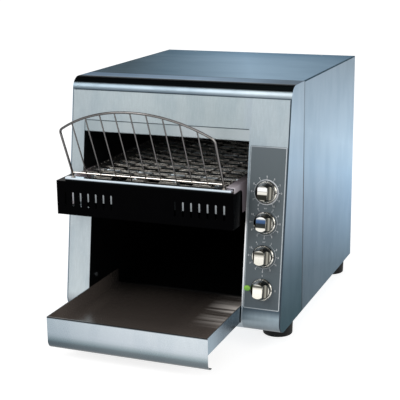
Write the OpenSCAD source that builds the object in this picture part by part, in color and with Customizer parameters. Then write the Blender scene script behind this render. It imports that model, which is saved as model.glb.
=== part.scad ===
// Conveyor toaster, counter-top, two slices across.
// Body frame used below: x to the right, y to the rear from the seam between the front bezel
// and the casing, z up from the bottom edge of the casing. Every module is drawn in it and
// stood on the feet by on_feet(). Millimetres.

/* [Casing] */
// Width over the side panels
body_w = 368; // [360:1:400]
// Height of the casing above its bottom edge
case_h = 377; // [360:1:410]
// Depth of the casing behind the front bezel
case_d = 331.5; // [322:0.5:380]
// How far the sloping front stands before the seam, at the level of the top
front_head_d = 63.6; // [58:0.1:72]
// How far the sloping front stands before the seam, at the level of the bottom edge
front_foot_d = 119.4; // [110:0.1:125]
// Thickness of the casing sheet
sheet = 1.2; // [1:0.1:1.5]
// Open joint between two casing sheets
seam_gap = 0.7; // [0.4:0.1:1]
// Width of the folded edges that the casing is screwed through
flange = 14; // [12:0.5:16]
// Outer radius of the bend over the front panel
nose_r = 20; // [15:0.5:26]
// Outer radius of the bend under the front panel
chin_r = 19; // [14:0.5:24]
// Height of the turned-up edge of the base pan
pan_h = 12; // [9:0.5:13]

/* [Feet] */
// Height of a foot
foot_h = 29.5; // [18:0.5:40]
// Diameter of a foot
foot_d = 50; // [34:1:52]
// Distance of a foot's centre from the side of the casing
foot_side = 31; // [28:0.5:40]
// Distance of the front feet's centres before the seam
foot_front = 30; // [24:1:36]
// Distance of the rear feet's centres from the back
foot_back = 28; // [28:1:70]
// Diameter of the screws that hold the feet
foot_screw_d = 5; // [4:0.5:6]

/* [Front openings] */
// Width of the control leg, to the right of the openings
ctrl_w = 64; // [58:0.5:66]
// Width of the front panel left of the toast outlet
left_leg_w = 40; // [34:0.5:44]
// Width of the front panel left of the bread inlet
left_jamb_w = 23; // [21:0.5:26]
// Height of the lower edge of the toast outlet
sill_z = 13.6; // [12.5:0.1:13.6]
// Height where the opening grows from the outlet's width to the inlet's
jamb_z = 171; // [168:0.5:175]
// Distance of the opening's top edge below the top of the casing
lintel_drop = 66; // [60:0.5:72]
// Radius of the opening's upper corners
lintel_r = 3; // [1:0.5:6]
// How far the baffle hangs below the opening's top edge
baffle_h = 19.5; // [15:0.5:25]

/* [Chamber] */
// Thickness of the chamber sheets
inner_t = 1.2; // [0.8:0.1:1.5]
// Height of the step from the lower to the upper chamber
shelf_z = 165; // [161:0.5:168]
// Space between the chamber and the back panel
back_space = 19; // [15:0.5:30]
// Height of the reflector over the opening's top edge
reflector_rise = 4; // [0:0.5:10]
// Rise of the toast chute, in degrees
chute_slope = 6; // [4:0.5:9]
// Radius of the bend at the rear of the toast chute
chute_r = 120; // [90:1:124]

/* [Conveyor] */
// Height of the top of the belt's upper run
belt_z = 231.5; // [229.5:0.5:233.5]
// Height of the belt over both of its runs
belt_h = 44; // [40:0.5:46]
// Space between the belt and the left side plate
belt_gap_left = 3; // [2:0.5:4]
// Space between the belt and the right side plate
belt_gap_right = 14; // [12:0.5:20]
// Distance of the front shaft before the seam
front_shaft_d = 100; // [94:1:101]
// Distance of the rear shaft behind the seam
rear_shaft_d = 225; // [190:1:235]
// Thickness of the belt's wire
wire_t = 1.5; // [1.2:0.1:1.8]
// Number of wire strands in the belt
strands = 60; // [56:2:72]
// Number of bends across one strand
strand_bends = 9; // [7:2:11]
// Thickness of the conveyor's side plates
plate_t = 1.5; // [1.2:0.1:2]
// Space between a side plate and the chamber wall on the left
plate_gap_left = 1; // [0.8:0.1:1.5]
// Space between a side plate and the chamber wall on the right
plate_gap_right = 6.2; // [5:0.1:8]
// Diameter of both shafts
shaft_d = 12; // [10:0.5:14]
// Radial running clearance in a bush
run_gap = 0.05; // [0.03:0.01:0.08]
// Wall of a bearing bush
bush_wall = 2; // [1.5:0.1:3]
// Number of sprockets on a shaft
sprockets = 4; // [3:1:5]
// Distance of the outer sprockets from the belt's edges
sprocket_edge = 21.9; // [16:0.1:30]
// Number of teeth on a belt sprocket
belt_teeth = 10; // [8:1:12]

/* [Front cover and ledge] */
// Distance of the front cover's face before the seam
cover_d = 134; // [132:0.5:140]
// Height of the lower edge of the front cover
cover_z0 = 166.5; // [160:0.5:168]
// Height of the upper edge of the front cover
cover_z1 = 221.5; // [217.5:0.5:222.5]
// Number of slots in each of the two groups
slots = 7; // [4:1:7]
// Distance of the outermost slots from the ends of the cover
slot_edge = 15.1; // [12:0.1:24]
// Width of a slot
slot_w = 3; // [2:0.1:5]
// Height of a slot
slot_h = 23.5; // [15:0.5:32]
// Distance of the innermost slots from the middle of the cover
slot_start = 54; // [45:0.5:62]
// Height of the loading ledge above the cover
ledge_h = 6.5; // [5:0.1:8]
// Depth of the loading ledge
ledge_d = 9; // [8:0.1:9.5]

/* [Bread guard] */
// Wire of the guard's frame
guard_wire_d = 3.8; // [3.4:0.1:4.6]
// Wire of the guard's bars
guard_bar_d = 2.2; // [1.8:0.1:2.8]
// Lean of the guard away from the toaster, in degrees
guard_lean = 25.2; // [15:0.2:32]
// Length of the guard's sides up to the corner
guard_side = 80; // [60:1:92]
// Length of the guard at its middle
guard_peak = 126; // [108:1:133]
// Spacing of the bars
guard_pitch = 25.5; // [20:0.5:26]
// Number of bars
guard_bars = 9; // [5:2:9]
// Radius of the guard's upper corners
guard_corner_r = 11; // [6:0.5:16]
// Height of the guard's lower wire above the bend of its pegs
guard_foot = 4; // [3.5:0.5:10]
// Length of the pegs that drop into the ledge
peg_l = 16; // [10:0.5:17]

/* [Toast tray] */
// Distance of the tray's front before the seam
tray_d = 256; // [200:1:280]
// Space between the tray and the sides of the outlet
tray_gap = 1.2; // [1:0.1:5]
// Height of the underside of the tray's floor
tray_z = 13.8; // [13.8:0.1:15]
// Height of the tray's rim
tray_rim_z = 40; // [34:0.5:48]
// How far the tray reaches behind the seam
tray_tail = 3; // [0:0.5:8]
// Lowest point of the lip under the tray's front
tray_lip_z = -13; // [-16:0.5:0]
// Radius of the lip under the tray's front
tray_lip_r = 14; // [8:0.5:16]

/* [Controls] */
// Distance of the dials from the side of the casing
dial_side = 32.5; // [30:0.5:34]
// Height of the lowest dial
dial_z = 69.5; // [64:0.5:74]
// Spacing of the three lower dials
dial_pitch = 51; // [46:0.1:52]
// Spacing of the speed dial above them
speed_pitch = 46.5; // [44:0.1:52]
// Diameter of a knob
knob_d = 34; // [30:0.5:38]
// Height of a knob
knob_h = 21; // [17:0.5:24]
// Width of a knob's grip at its top
grip_w = 15; // [11:0.5:18]
// Length of a knob's grip at its top
grip_l = 22; // [19:0.5:24]
// Height of a knob's skirt
skirt_h = 3; // [2.5:0.1:3.5]
// Diameter of a control's spindle
spindle_d = 6; // [5:0.5:6.5]
// Thickness of the control overlay
overlay_t = 0.6; // [0.4:0.1:1]
// Margin of the overlay within the control leg
overlay_gap = 2.6; // [2:0.1:4]
// Lower edge of the overlay
overlay_z0 = 38; // [30:0.5:41]
// Upper edge of the overlay
overlay_z1 = 287; // [256:0.5:300]
// Distance of the signal lamp from the left edge of the overlay
lamp_in = 6; // [6:0.1:8]

/* [Heating and drive] */
// Outer diameter of a quartz tube
tube_d = 11; // [9:0.5:12]
// Wall of a quartz tube
tube_wall = 1; // [0.8:0.1:1.5]
// Number of tubes over the belt
upper_tubes = 4; // [3:1:5]
// Number of tubes between the belt's runs
lower_tubes = 3; // [2:1:4]
// Distance from the middle of the first tube to the middle of the last
tube_span = 200; // [160:1:204]
// Distance of the last upper tube before the rear shaft
tube_end = 8.5; // [6:0.5:16]
// Teeth of the sprocket on the gear motor
motor_teeth = 10; // [9:1:12]
// Teeth of the chain sprocket on the rear shaft
drive_teeth = 20; // [16:1:22]
// Pitch of the drive chain
chain_pitch = 6.35; // [5:0.05:7]
// Height of the gear motor's shaft
motor_z = 115; // [108:1:121]
// Distance of the gear motor's shaft behind the seam
motor_y = 148; // [135:1:150]
// Width of the cooling fan
fan_w = 40; // [36:1:46]

/* [Hidden] */
$fn = 48;
fine = 96;
hw = body_w / 2;
lean = atan((front_foot_d - front_head_d) / case_h);
face_t = sheet / cos(lean);              // a sheet of the sloping front, measured along y
lintel_z = case_h - lintel_drop;         // top edge of the opening in the front panel
baffle_z = lintel_z - baffle_h;
reflector_z = lintel_z + reflector_rise;
xr = hw - ctrl_w;                        // inner face of the chamber's right wall
xl_low = -hw + left_leg_w;               // inner face of its left wall, below the shelf
xl_up = -hw + left_jamb_w;               // the same, above the shelf
chamber_y = case_d - back_space;         // rear end of the chamber
nose_back = nose_r * tan((90 - lean) / 2);
nose_z = case_h - nose_back * cos(lean); // where the bend over the panel runs into the slope
seam_z = nose_z - 2.5;                   // joint between the bezel and the front panel
chin_back = chin_r * tan((90 + lean) / 2);
chin_z = chin_back * cos(lean);          // where the bend under the panel begins
pan_front = front_foot_d - chin_back - 18; // distance of the pan's front edge before the seam
pan_back = case_d - sheet;               // rear edge of the pan, against the back panel
plate_l = xl_up + plate_gap_left;        // outer face of the left side plate
plate_r = xr - plate_gap_right;          // outer face of the right side plate
belt_l = plate_l + plate_t + belt_gap_left;
belt_r = plate_r - plate_t - belt_gap_right;
belt_mid = (belt_l + belt_r) / 2;
sprocket_pitch = (belt_r - belt_l - 2 * sprocket_edge) / (sprockets - 1);
layer_gap = 0.45 * wire_t;               // gap between the two layers of strands
wrap_r = belt_h / 2 - wire_t - layer_gap / 2; // level between the two layers, about a shaft
shaft_z = belt_z - belt_h / 2;
belt_t = 2 * wire_t + layer_gap;         // thickness of the belt
drum_r = belt_h / 2 - belt_t - 0.5;      // tip radius of a belt sprocket
cover_r = plate_r + sheet;
cover_mid = (cover_r - hw) / 2;
slot_pitch = ((cover_r + hw) / 2 - slot_edge - slot_start) / (slots - 1);
ledge_z = cover_z1 + ledge_h;
ledge_l = -hw + 16;
ledge_r = plate_r - plate_t - 1.2;
plate_front = cover_d - sheet - 1.6;     // distance of the side plates' front edge before the seam
plate_top = belt_z - 2.5;
plate_z0 = shaft_z - belt_h / 2 - 4;
plate_back = chamber_y - 60;             // rear edge of the side plates
notch_d = cover_d - ledge_d - 0.5;
peg_y = -cover_d + ledge_d / 2;
tube_hole = tube_d + 0.6;
upper_tube_z = baffle_z + 2 + tube_d / 2;
lower_tube_z = shaft_z + 4;
tube_y0 = rear_shaft_d - tube_end - tube_span;
cap_l = left_jamb_w - inner_t - flange - 0.3; // the caps end beside the folded edges
cap_d = tube_d + 5;
chute_lip = 10 - tray_tail;              // distance of the chute's lower edge before the seam
tray_l = xl_low + tray_gap;
tray_r = xr - tray_gap;
dial_x = hw - dial_side;
dial_top = dial_z + 2 * dial_pitch + speed_pitch;
overlay_l = xr + overlay_gap;
overlay_r = hw - overlay_gap;
lamp_x = overlay_l + lamp_in;
nut_h = 2;
bush_d = 9.5;                            // threaded bush of a control
lamp_d = 7;
body_d = 24;                             // depth of a heat control behind the panel
chain_x = xr + inner_t + 9;              // middle of the chain
chain_w = 5;
motor_x = chain_x + chain_w / 2 + 5;     // face of the gear motor's bracket
function sprocket_r(teeth) = chain_pitch / 2 / sin(180 / teeth);
drive_r = sprocket_r(drive_teeth);
motor_r = sprocket_r(motor_teeth);
fan_x = (xr + inner_t + hw - flange) / 2;
fan_z = 96;
vent_drop = 77;                          // the back's upper row of air slots below the top edge
vent_pitch = 50;
baffle_foot = 9;                         // folded foot of the inlet baffle
baffle_over = 10.5;                      // how far the baffle goes on behind the front panel
gland_z = 34;
gland_d = 16;
gland_out = 12.5;
seam_y = (tray_d - case_d - gland_out) / 2;
gearbox_w = 60;
gearbox_t = 20;
gearbox_rise = 30;                       // top of the gearbox above its shaft
gearbox_drop = 46;                       // and its bottom below it
motor_can_d = 50;
bracket_t = 2;
bracket_foot = 26;
bracket_w = gearbox_w + 8;               // width of the motor's bracket
terminal_y = motor_y + bracket_w / 2 + 4; // front end of the terminal block
board_post = 6;                          // height of the circuit board's posts
board_y = 20;
board_w = 80;
board_h = 54;
board_z = lower_tube_z - cap_d / 2 - 4 - board_h; // the board hangs under the lower end caps
screw_d = 4;
wall_foot = 10;                          // width of the folded foot of a chamber wall
rail_t = 1;                              // sheet of the tray's rails
rest_d = 6;                              // rods that carry the belt's upper run
chain_half = 2.6;                        // half the height of a link plate
bend_step = 5;                           // degrees between the points of a sheet's bend
peg_bend_r = 6;                          // bend from a peg into the leaning plane

// ---- geometry helpers ----

function front_y(z) = -front_foot_d + z * tan(lean);
function dir(a, b) = (b - a) / norm(b - a);
function turn(a, b, c) =
    let (u = dir(a, b), v = dir(b, c)) atan2(u[0] * v[1] - u[1] * v[0], u * v);
function setback(a, b, c, r) = r * tan(abs(turn(a, b, c)) / 2);
function polar(r, a) = [r * cos(a), r * sin(a)];

module on_feet() translate([0, seam_y, foot_h]) children();

// a profile drawn in (y, z), extruded from x0 to x1
module along_x(x0, x1) translate([x0, 0, 0]) rotate([90, 0, 90]) linear_extrude(x1 - x0) children();

// a profile drawn in (x, z), extruded from y0 to y1
module along_y(y0, y1) translate([0, y1, 0]) rotate([90, 0, 0]) linear_extrude(y1 - y0) children();

// children stand on the sloping front with x to the right, y up the slope and z outwards
module on_front(x, z) translate([x, front_y(z), z]) rotate([90 - lean, 0, 0]) children();

module box(x, y, z) translate([x[0], y[0], z[0]]) cube([x[1] - x[0], y[1] - y[0], z[1] - z[0]]);

module rod_x(x0, x1, d) translate([x0, 0, 0]) rotate([0, 90, 0]) cylinder(d = d, h = x1 - x0);

module rod_y(y0, y1, d) translate([0, y1, 0]) rotate([90, 0, 0]) cylinder(d = d, h = y1 - y0);

// a straight round wire between two points
module wire(a, b, d) {
    v = b - a;
    translate(a) rotate([0, acos(v[2] / norm(v)), atan2(v[1], v[0])]) cylinder(d = d, h = norm(v));
}

// points of an arc about a centre, from angle a0 to a1
function arc_points(centre, r, a0, a1) = let (n = max(2, ceil(abs(a1 - a0) / bend_step)))
    [for (i = [0 : n]) centre + polar(r, a0 + (a1 - a0) * i / n)];

// one face of a bent sheet: the path's points, each bend rounded and the face moved off the
// path by w to its left; r is the path's own radius in every bend
function bent_face(path, r, w) = let (last = len(path) - 1) [
    for (i = [0 : last])
        let (u = i == 0 ? dir(path[0], path[1]) : dir(path[i - 1], path[i]), left = [-u[1], u[0]])
        if (i == 0 || i == last) path[i] + w * left
        else
            let (bend = turn(path[i - 1], path[i], path[i + 1]), s = sign(bend),
                centre = path[i] - setback(path[i - 1], path[i], path[i + 1], r) * u + s * r * left,
                start = atan2(u[1], u[0]) - s * 90)
            each arc_points(centre, r - s * w, start, start + bend)];

// a bent sheet along a path that runs on one of its faces; the sheet lies to the left of the
// path where side is 1 and to the right where it is -1
module bent_sheet(path, r, t, side = 1) {
    back = bent_face(path, r, side * t);
    polygon(concat(bent_face(path, r, 0), [for (i = [len(back) - 1 : -1 : 0]) back[i]]));
}

// the front's face in (y, z), from the seam over the nose and down the slope
function nose_path() = [[0, case_h], [-front_head_d, case_h], [front_y(seam_z), seam_z]];

// outline of the body in front of the seam, in (y, z)
module front_outline() polygon(concat([[0, 0]], bent_face(nose_path(), nose_r, 0),
    bent_face([[front_y(seam_z), seam_z], [-front_foot_d, 0], [-pan_front, 0]], chin_r, 0)));

// an upright slot with round ends, centred
module slot(w, h) {
    square([w, h - w], center = true);
    for (s = [-1, 1]) translate([0, s * (h - w) / 2]) circle(d = w, $fn = 24);
}

module rounded(w, h, r) {
    square([w - 2 * r, h], center = true);
    square([w, h - 2 * r], center = true);
    for (sx = [-1, 1], sy = [-1, 1])
        translate([sx * (w / 2 - r), sy * (h / 2 - r)]) circle(r = r, $fn = 32);
}

// ---- casing ----

function foot_places() = [for (sx = [-1, 1], y = [-foot_front, case_d - foot_back])
    [sx * (hw - foot_side), y]];

function pan_vents() = [for (i = [0 : 7], s = [-1, 1]) [s * (hw - flange), 60 + 20 * i]];

module base_pan() on_feet() color("#8d9398") {
    inner = hw - sheet;
    difference() {
        union() {
            box([-inner, inner], [-pan_front, pan_back], [0, sheet]);
            for (s = [-1, 1])
                box([min(s * inner, s * (inner - sheet)), max(s * inner, s * (inner - sheet))],
                    [-pan_front + 24, pan_back], [0, pan_h]);
            box([-inner, inner], [pan_back - sheet, pan_back], [0, pan_h]);
            box([-inner, inner], [-pan_front - 12, -pan_front + 6], [sheet, 2 * sheet]);
        }
        for (p = foot_places())
            translate([p[0], p[1], -1]) cylinder(d = foot_screw_d + 0.4, h = sheet + 2);
        for (p = pan_vents()) translate([p[0], p[1], -1]) linear_extrude(sheet + 2) slot(5, 9);
    }
}

module side_panel() {
    difference() {
        union() {
            box([hw - sheet, hw], [seam_gap, case_d], [0, case_h - sheet]);
            box([hw - flange, hw - sheet], [0, sheet], [pan_h, case_h - 2 * sheet]);
            box([hw - flange, hw - sheet], [case_d - 2 * sheet, case_d - sheet],
                [pan_h, case_h - 2 * sheet]);
            box([hw - flange, hw - sheet], [0, case_d - sheet],
                [case_h - 2 * sheet, case_h - sheet]);
        }
        for (z = back_screw_levels()) translate([hw - flange / 2 - 1, 0, z])
            rod_y(case_d - 3 * sheet, case_d, screw_d);
    }
}

module left_side_panel() on_feet() color("#9fb4c6") mirror([1, 0, 0]) side_panel();

module right_side_panel() on_feet() color("#9fb4c6") side_panel();

module top_cover() on_feet() color("#7f97aa") {
    top = case_h - sheet;
    difference() {
        box([-hw, hw], [seam_gap, case_d], [top, case_h]);
        for (x = top_screw_places())
            translate([x, case_d - 12, top - 1]) cylinder(d = screw_d, h = sheet + 2);
    }
    box([-hw + flange + 1, hw - flange - 1], [-8, 6], [top - sheet, top]);
    difference() {
        box([-hw + flange + 1, hw - flange - 1], [case_d - 2 * sheet - 18, case_d - 2 * sheet],
            [top - sheet, top]);
        for (x = top_screw_places()) translate([x, case_d - 12, top - 3]) cylinder(d = screw_d, h = 6);
    }
}

function back_screw_levels() = [30, case_h / 2, case_h - 30];
function dial_levels() = [dial_z, dial_z + dial_pitch, dial_z + 2 * dial_pitch, dial_top];
function top_screw_places() = [-hw + 60, 0, hw - 60];

module back_panel() on_feet() color("#9aa5ad") {
    half = hw - sheet - 0.3;
    difference() {
        union() {
            box([-half, half], [case_d - sheet, case_d], [0.3, case_h - sheet]);
            box([-hw + flange + 2, hw - flange - 2], [case_d - 2 * sheet, case_d - sheet],
                [case_h - 2 * sheet - 12, case_h - 2 * sheet]);
        }
        for (s = [-1, 1], z = back_screw_levels())
            translate([s * (hw - flange / 2 - 1), 0, z]) rod_y(case_d - 2 * sheet, case_d + 1, screw_d);
        // air slots over the chamber
        for (i = [-4 : 4], z = [case_h - vent_drop - vent_pitch, case_h - vent_drop])
            along_y(case_d - 2 * sheet, case_d + 1)
                translate([belt_mid + 22 * i, z]) rotate(90) slot(4, 18);
        // grille of the cooling fan
        for (i = [-3 : 3])
            along_y(case_d - 2 * sheet, case_d + 1) translate([fan_x + 6 * i, fan_z])
                slot(3, fan_w - 8 - 2 * abs(i) * abs(i));
        translate([fan_x, 0, gland_z]) rod_y(case_d - 2 * sheet, case_d + 1, gland_d);
    }
}

module front_bezel() on_feet() color("#a3b7c8") {
    for (s = [0, 1]) mirror([s, 0, 0]) {
        along_x(hw - sheet, hw) front_outline();
        box([hw - flange, hw - sheet], [-sheet, 0], [pan_h, case_h - 2 * sheet]);
    }
    along_x(-hw, hw) bent_sheet(nose_path(), nose_r, sheet);
}

module front_panel() on_feet() color("#b3bdc3") {
    chin = [-front_foot_d, 0];
    up = [sin(lean), cos(lean)];
    inset = [cos(lean), -sin(lean)];
    face = (seam_z - seam_gap) / cos(lean);
    half = hw - sheet;
    difference() {
        union() {
            along_x(-half + seam_gap, half - seam_gap)
                bent_sheet([chin + face * up, chin, chin + [chin_back + 18, 0]], chin_r, sheet);
            // tongue behind the lower edge of the bezel
            along_x(-half + seam_gap, half - seam_gap) polygon([
                chin + (face - 12) * up + sheet * inset, chin + (face + 2.2) * up + sheet * inset,
                chin + (face + 2.2) * up + 2 * sheet * inset, chin + (face - 12) * up + 2 * sheet * inset]);
            // folded sides, screwed to the bezel's cheeks
            for (s = [0, 1]) mirror([s, 0, 0]) along_x(half - sheet, half) polygon([
                chin + (chin_back + 2) * up + sheet * inset, chin + (face - 14) * up + sheet * inset,
                chin + (face - 14) * up + 13 * inset, chin + (chin_back + 2) * up + 13 * inset]);
        }
        along_y(-front_foot_d - 1, -front_head_d + 30) {
            translate([xl_low, sill_z]) square([xr - xl_low, lintel_z - sill_z - lintel_r]);
            translate([xl_up, jamb_z]) square([xr - xl_up, lintel_z - jamb_z - lintel_r]);
            translate([xl_up + lintel_r, lintel_z - 2 * lintel_r])
                square([xr - xl_up - 2 * lintel_r, 2 * lintel_r]);
            for (x = [xl_up + lintel_r, xr - lintel_r])
                translate([x, lintel_z - lintel_r]) circle(r = lintel_r);
        }
        for (z = dial_levels()) on_front(dial_x, z)
            translate([0, 0, -3 * sheet]) cylinder(d = bush_d + 0.4, h = 5 * sheet);
        on_front(lamp_x, dial_z) translate([0, 0, -3 * sheet]) cylinder(d = lamp_d + 0.3, h = 5 * sheet);
    }
}

module inlet_baffle() on_feet() color("#8f9aa1") {
    foot = [front_y(baffle_z) + face_t, baffle_z];
    up = [sin(lean), cos(lean)];
    along_x(xl_up, xr)
        bent_sheet([foot + [baffle_foot, 0], foot, foot + (baffle_h + baffle_over) * up], 2, inner_t, -1);
}

module control_overlay() on_feet() color("#646c75") difference() {
    mid = (overlay_z0 + overlay_z1) / 2;
    w = overlay_r - overlay_l;
    h = (overlay_z1 - overlay_z0) / cos(lean);
    on_front((overlay_l + overlay_r) / 2, mid) linear_extrude(overlay_t) rounded(w, h, 3);
    for (z = dial_levels()) on_front(dial_x, z)
        translate([0, 0, -1]) cylinder(d = bush_d + 0.4, h = overlay_t + 2);
    on_front(lamp_x, dial_z) translate([0, 0, -1]) cylinder(d = lamp_d + 0.3, h = overlay_t + 2);
}

// ---- chamber ----

// outline of a chamber wall in (y, z), from one level to another; it clears the bend at the bottom
module wall_outline(z0, z1) {
    step = face_t + 0.02;
    foot = z0 > chin_z ? [[front_y(z0) + step, z0]]
        : [[-front_foot_d + chin_back, z0], [front_y(chin_z) + step, chin_z]];
    polygon(concat(foot, [[front_y(z1) + step, z1], [chamber_y, z1], [chamber_y, z0]]));
}

function upper_tube_ys() = [for (i = [0 : upper_tubes - 1]) tube_y0 + i * tube_span / (upper_tubes - 1)];
function lower_tube_ys() = [for (i = [0 : lower_tubes - 1])
    tube_y0 + tube_span * (i + 0.5) / lower_tubes];
function tube_places() = concat([for (y = upper_tube_ys()) [y, upper_tube_z]],
    [for (y = lower_tube_ys()) [y, lower_tube_z]]);
function spacer_places() = [for (y = [-40, tube_y0 + tube_span * (lower_tubes - 1) / lower_tubes])
    [y, lower_tube_z - 10]];

module wall_holes(x0, x1) {
    for (p = tube_places()) translate([0, p[0], p[1]]) rod_x(x0, x1, tube_hole);
    for (p = spacer_places()) translate([0, p[0], p[1]]) rod_x(x0, x1, screw_d);
}

// folded foot of a wall, on the pan behind the front panel's tongue
module wall_base(x0, x1) box([x0, x1], [-pan_front + 8, chamber_y], [sheet, 2 * sheet]);

module left_chamber_wall() on_feet() color("#3c4145") difference() {
    union() {
        along_x(xl_up - inner_t, xl_up) wall_outline(shelf_z, reflector_z + 10);
        along_x(xl_up - inner_t, xl_low) wall_outline(shelf_z - inner_t, shelf_z);
        along_x(xl_low - inner_t, xl_low) wall_outline(2 * sheet, shelf_z);
        wall_base(xl_low - inner_t, xl_low + wall_foot);
    }
    wall_holes(xl_up - 5, xl_up + 1);
    wall_screw_at(xl_low, 54) rod_x(-5, 5, 3);
}

module right_chamber_wall() on_feet() color("#3c4145") difference() {
    union() {
        along_x(xr, xr + inner_t) wall_outline(2 * sheet, reflector_z + 10);
        wall_base(xr - wall_foot, xr + inner_t);
    }
    wall_holes(xr - 1, xr + 5);
    translate([0, rear_shaft_d, shaft_z]) rod_x(xr - 1, xr + 5, shaft_d + 10);
    wall_screw_at(xr, 72) rod_x(-5, 5, 3);
}

module wall_screw_at(x, z) translate([x, front_y(z) + 25, z]) children();

module wall_screws() on_feet() color("#d5dade") {
    wall_screw_at(xl_low, 54) screw_through();
    wall_screw_at(xr, 72) mirror([1, 0, 0]) screw_through();
}

// pan-head screw with its head on the chamber side and its nut behind the wall
module screw_through() {
    rod_x(0, 1.8, 7);
    rod_x(-inner_t - 3, 0.5, 3);
    translate([-inner_t - 2.4, 0, 0]) rotate([0, 90, 0]) cylinder(d = 6.4, h = 2.4, $fn = 6);
}

module upper_reflector() on_feet() color("#a9b1b6") {
    z = reflector_z;
    y0 = front_y(z) + face_t + inner_t + 3;
    along_x(xl_up, xr) bent_sheet([[y0, z - 8], [y0, z], [chamber_y, z]], 2, inner_t);
}

module lower_reflector() on_feet() color("#a9b1b6") {
    y0 = lower_tube_ys()[0] - 14;
    y1 = lower_tube_ys()[lower_tubes - 1] + 14;
    z = plate_z0 + 16;
    along_x(plate_l + plate_t, plate_r - plate_t)
        bent_sheet([[y0 - 6, z + 8], [y0, z], [y1, z], [y1 + 6, z + 8]], 2, inner_t);
}

module toast_chute() on_feet() color("#4b5258") {
    lip = [-chute_lip, tray_z + sheet + inner_t + 0.4];
    corner = [chamber_y, lip[1] + (chamber_y - lip[0]) * tan(chute_slope)];
    along_x(xl_low, xr) bent_sheet([[chamber_y, shelf_z - inner_t], corner, lip], chute_r, inner_t);
    along_x(xl_up - inner_t, xr + inner_t)
        translate([chamber_y, shelf_z - inner_t]) square([inner_t, reflector_z + 11 - shelf_z]);
}

module upper_quartz_tubes() on_feet() color("#dfe6ea") tubes(upper_tube_ys(), upper_tube_z);

module lower_quartz_tubes() on_feet() color("#dfe6ea") tubes(lower_tube_ys(), lower_tube_z);

module tubes(ys, z) for (y = ys) translate([0, y, z]) difference() {
    rod_x(xl_up - inner_t - cap_l + 3, xr + inner_t + cap_l - 3, tube_d);
    rod_x(xl_up - inner_t - cap_l, xr + inner_t + cap_l, tube_d - 2 * tube_wall);
}

module tube_end_caps() on_feet() color("#e9e5da") for (p = tube_places()) translate([0, p[0], p[1]]) {
    end_cap(xr + inner_t);
    mirror([1, 0, 0]) end_cap(-(xl_up - inner_t));
}

module end_cap(x) difference() {
    rod_x(x, x + cap_l, cap_d);
    rod_x(x - 1, x + cap_l - 3, tube_d);
}

module heater_coils() on_feet() color("#7b5340") for (p = tube_places()) translate([0, p[0], p[1]])
    rod_x(xl_up - inner_t - cap_l + 3, xr + inner_t + cap_l - 3, 4);

// ---- conveyor ----

module side_plate_outline() {
    polygon([[-plate_front, plate_z0], [-plate_front, cover_z1 - sheet - 0.2],
        [-notch_d, cover_z1 - sheet - 0.2], [-notch_d, plate_top], [plate_back, plate_top],
        [plate_back, plate_z0]]);
}

module side_plate_holes(x0, x1) {
    for (y = [-front_shaft_d, rear_shaft_d])
        translate([0, y, shaft_z]) rod_x(x0, x1, shaft_d + 2 * bush_wall);
    for (y = lower_tube_ys()) translate([0, y, lower_tube_z]) rod_x(x0, x1, tube_hole);
    for (p = spacer_places()) translate([0, p[0], p[1]]) rod_x(x0, x1, screw_d);
}

module left_side_plate() on_feet() color("#b9c1c6") difference() {
    along_x(plate_l, plate_l + plate_t) side_plate_outline();
    side_plate_holes(plate_l - 1, plate_l + 5);
}

module right_side_plate() on_feet() color("#b9c1c6") difference() {
    union() {
        along_x(plate_r - plate_t, plate_r) side_plate_outline();
        box([belt_r + 2, plate_r], [-notch_d, plate_back], [plate_top, plate_top + plate_t]);
    }
    side_plate_holes(plate_r - 5, plate_r + 1);
}

module front_cross_plate() on_feet() color("#cfd6da") {
    y = -plate_front + 3;
    box([plate_l + plate_t, plate_r - plate_t], [y, y + sheet], [plate_z0 + 5, ledge_z - peg_l - 2]);
}

// rods from plate to plate, under the upper run of the belt
module belt_rests() on_feet() color("#b9c1c6")
    for (y = [-front_shaft_d + 45, tube_y0 + tube_span / 2, rear_shaft_d - 45])
        translate([0, y, belt_z - belt_t - rest_d / 2])
            rod_x(plate_l + plate_t, plate_r - plate_t, rest_d);

module frame_spacers() on_feet() color("#c3c8cb") for (p = spacer_places()) translate([0, p[0], p[1]]) {
    rod_x(plate_r, xr, 9);
    rod_x(plate_r - plate_t, xr + inner_t + 5, screw_d);
    rod_x(xr + inner_t, xr + inner_t + 3, 8);
    rod_x(xl_up, plate_l, 9);
    rod_x(xl_up - inner_t - 5, plate_l + plate_t, screw_d);
    rod_x(xl_up - inner_t - 3, xl_up - inner_t, 8);
}

// a bush in a side plate, its flange to the right of the plate
module bush() difference() {
    union() {
        rod_x(0, plate_t, shaft_d + 2 * bush_wall);
        rod_x(plate_t, plate_t + bush_wall, shaft_d + 4 * bush_wall);
    }
    rod_x(-1, plate_t + bush_wall + 1, shaft_d + 2 * run_gap);
}

module shaft_bushes() on_feet() color("#a98b4e") for (y = [-front_shaft_d, rear_shaft_d])
    translate([0, y, shaft_z]) {
        translate([plate_l, 0, 0]) bush();
        translate([plate_r, 0, 0]) mirror([1, 0, 0]) bush();
    }

// point and direction at distance s along the belt's loop, as [y, z, angle]
function loop_length() = 2 * (rear_shaft_d + front_shaft_d) + 2 * PI * wrap_r;
function loop_at(s) = let (run = rear_shaft_d + front_shaft_d, half = PI * wrap_r)
    s < run ? [-front_shaft_d + s, shaft_z + wrap_r, 0]
    : s < run + half ? let (a = 90 - (s - run) / wrap_r * 180 / PI)
        [rear_shaft_d + wrap_r * cos(a), shaft_z + wrap_r * sin(a), a - 90]
    : s < 2 * run + half ? [rear_shaft_d - (s - run - half), shaft_z - wrap_r, 180]
    : let (a = -90 - (s - 2 * run - half) / wrap_r * 180 / PI)
        [-front_shaft_d + wrap_r * cos(a), shaft_z + wrap_r * sin(a), a - 90];

// centre line of one strand, in (travel, x): a square wave between 0 and reach
function strand_path(reach, phase) = let (cell = (belt_r - belt_l) / strand_bends) [
    for (i = [0 : strand_bends - 1], k = [0, 1])
        [(i + phase) % 2 == 0 ? 0 : reach, belt_l + (i + k) * cell]];

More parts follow.
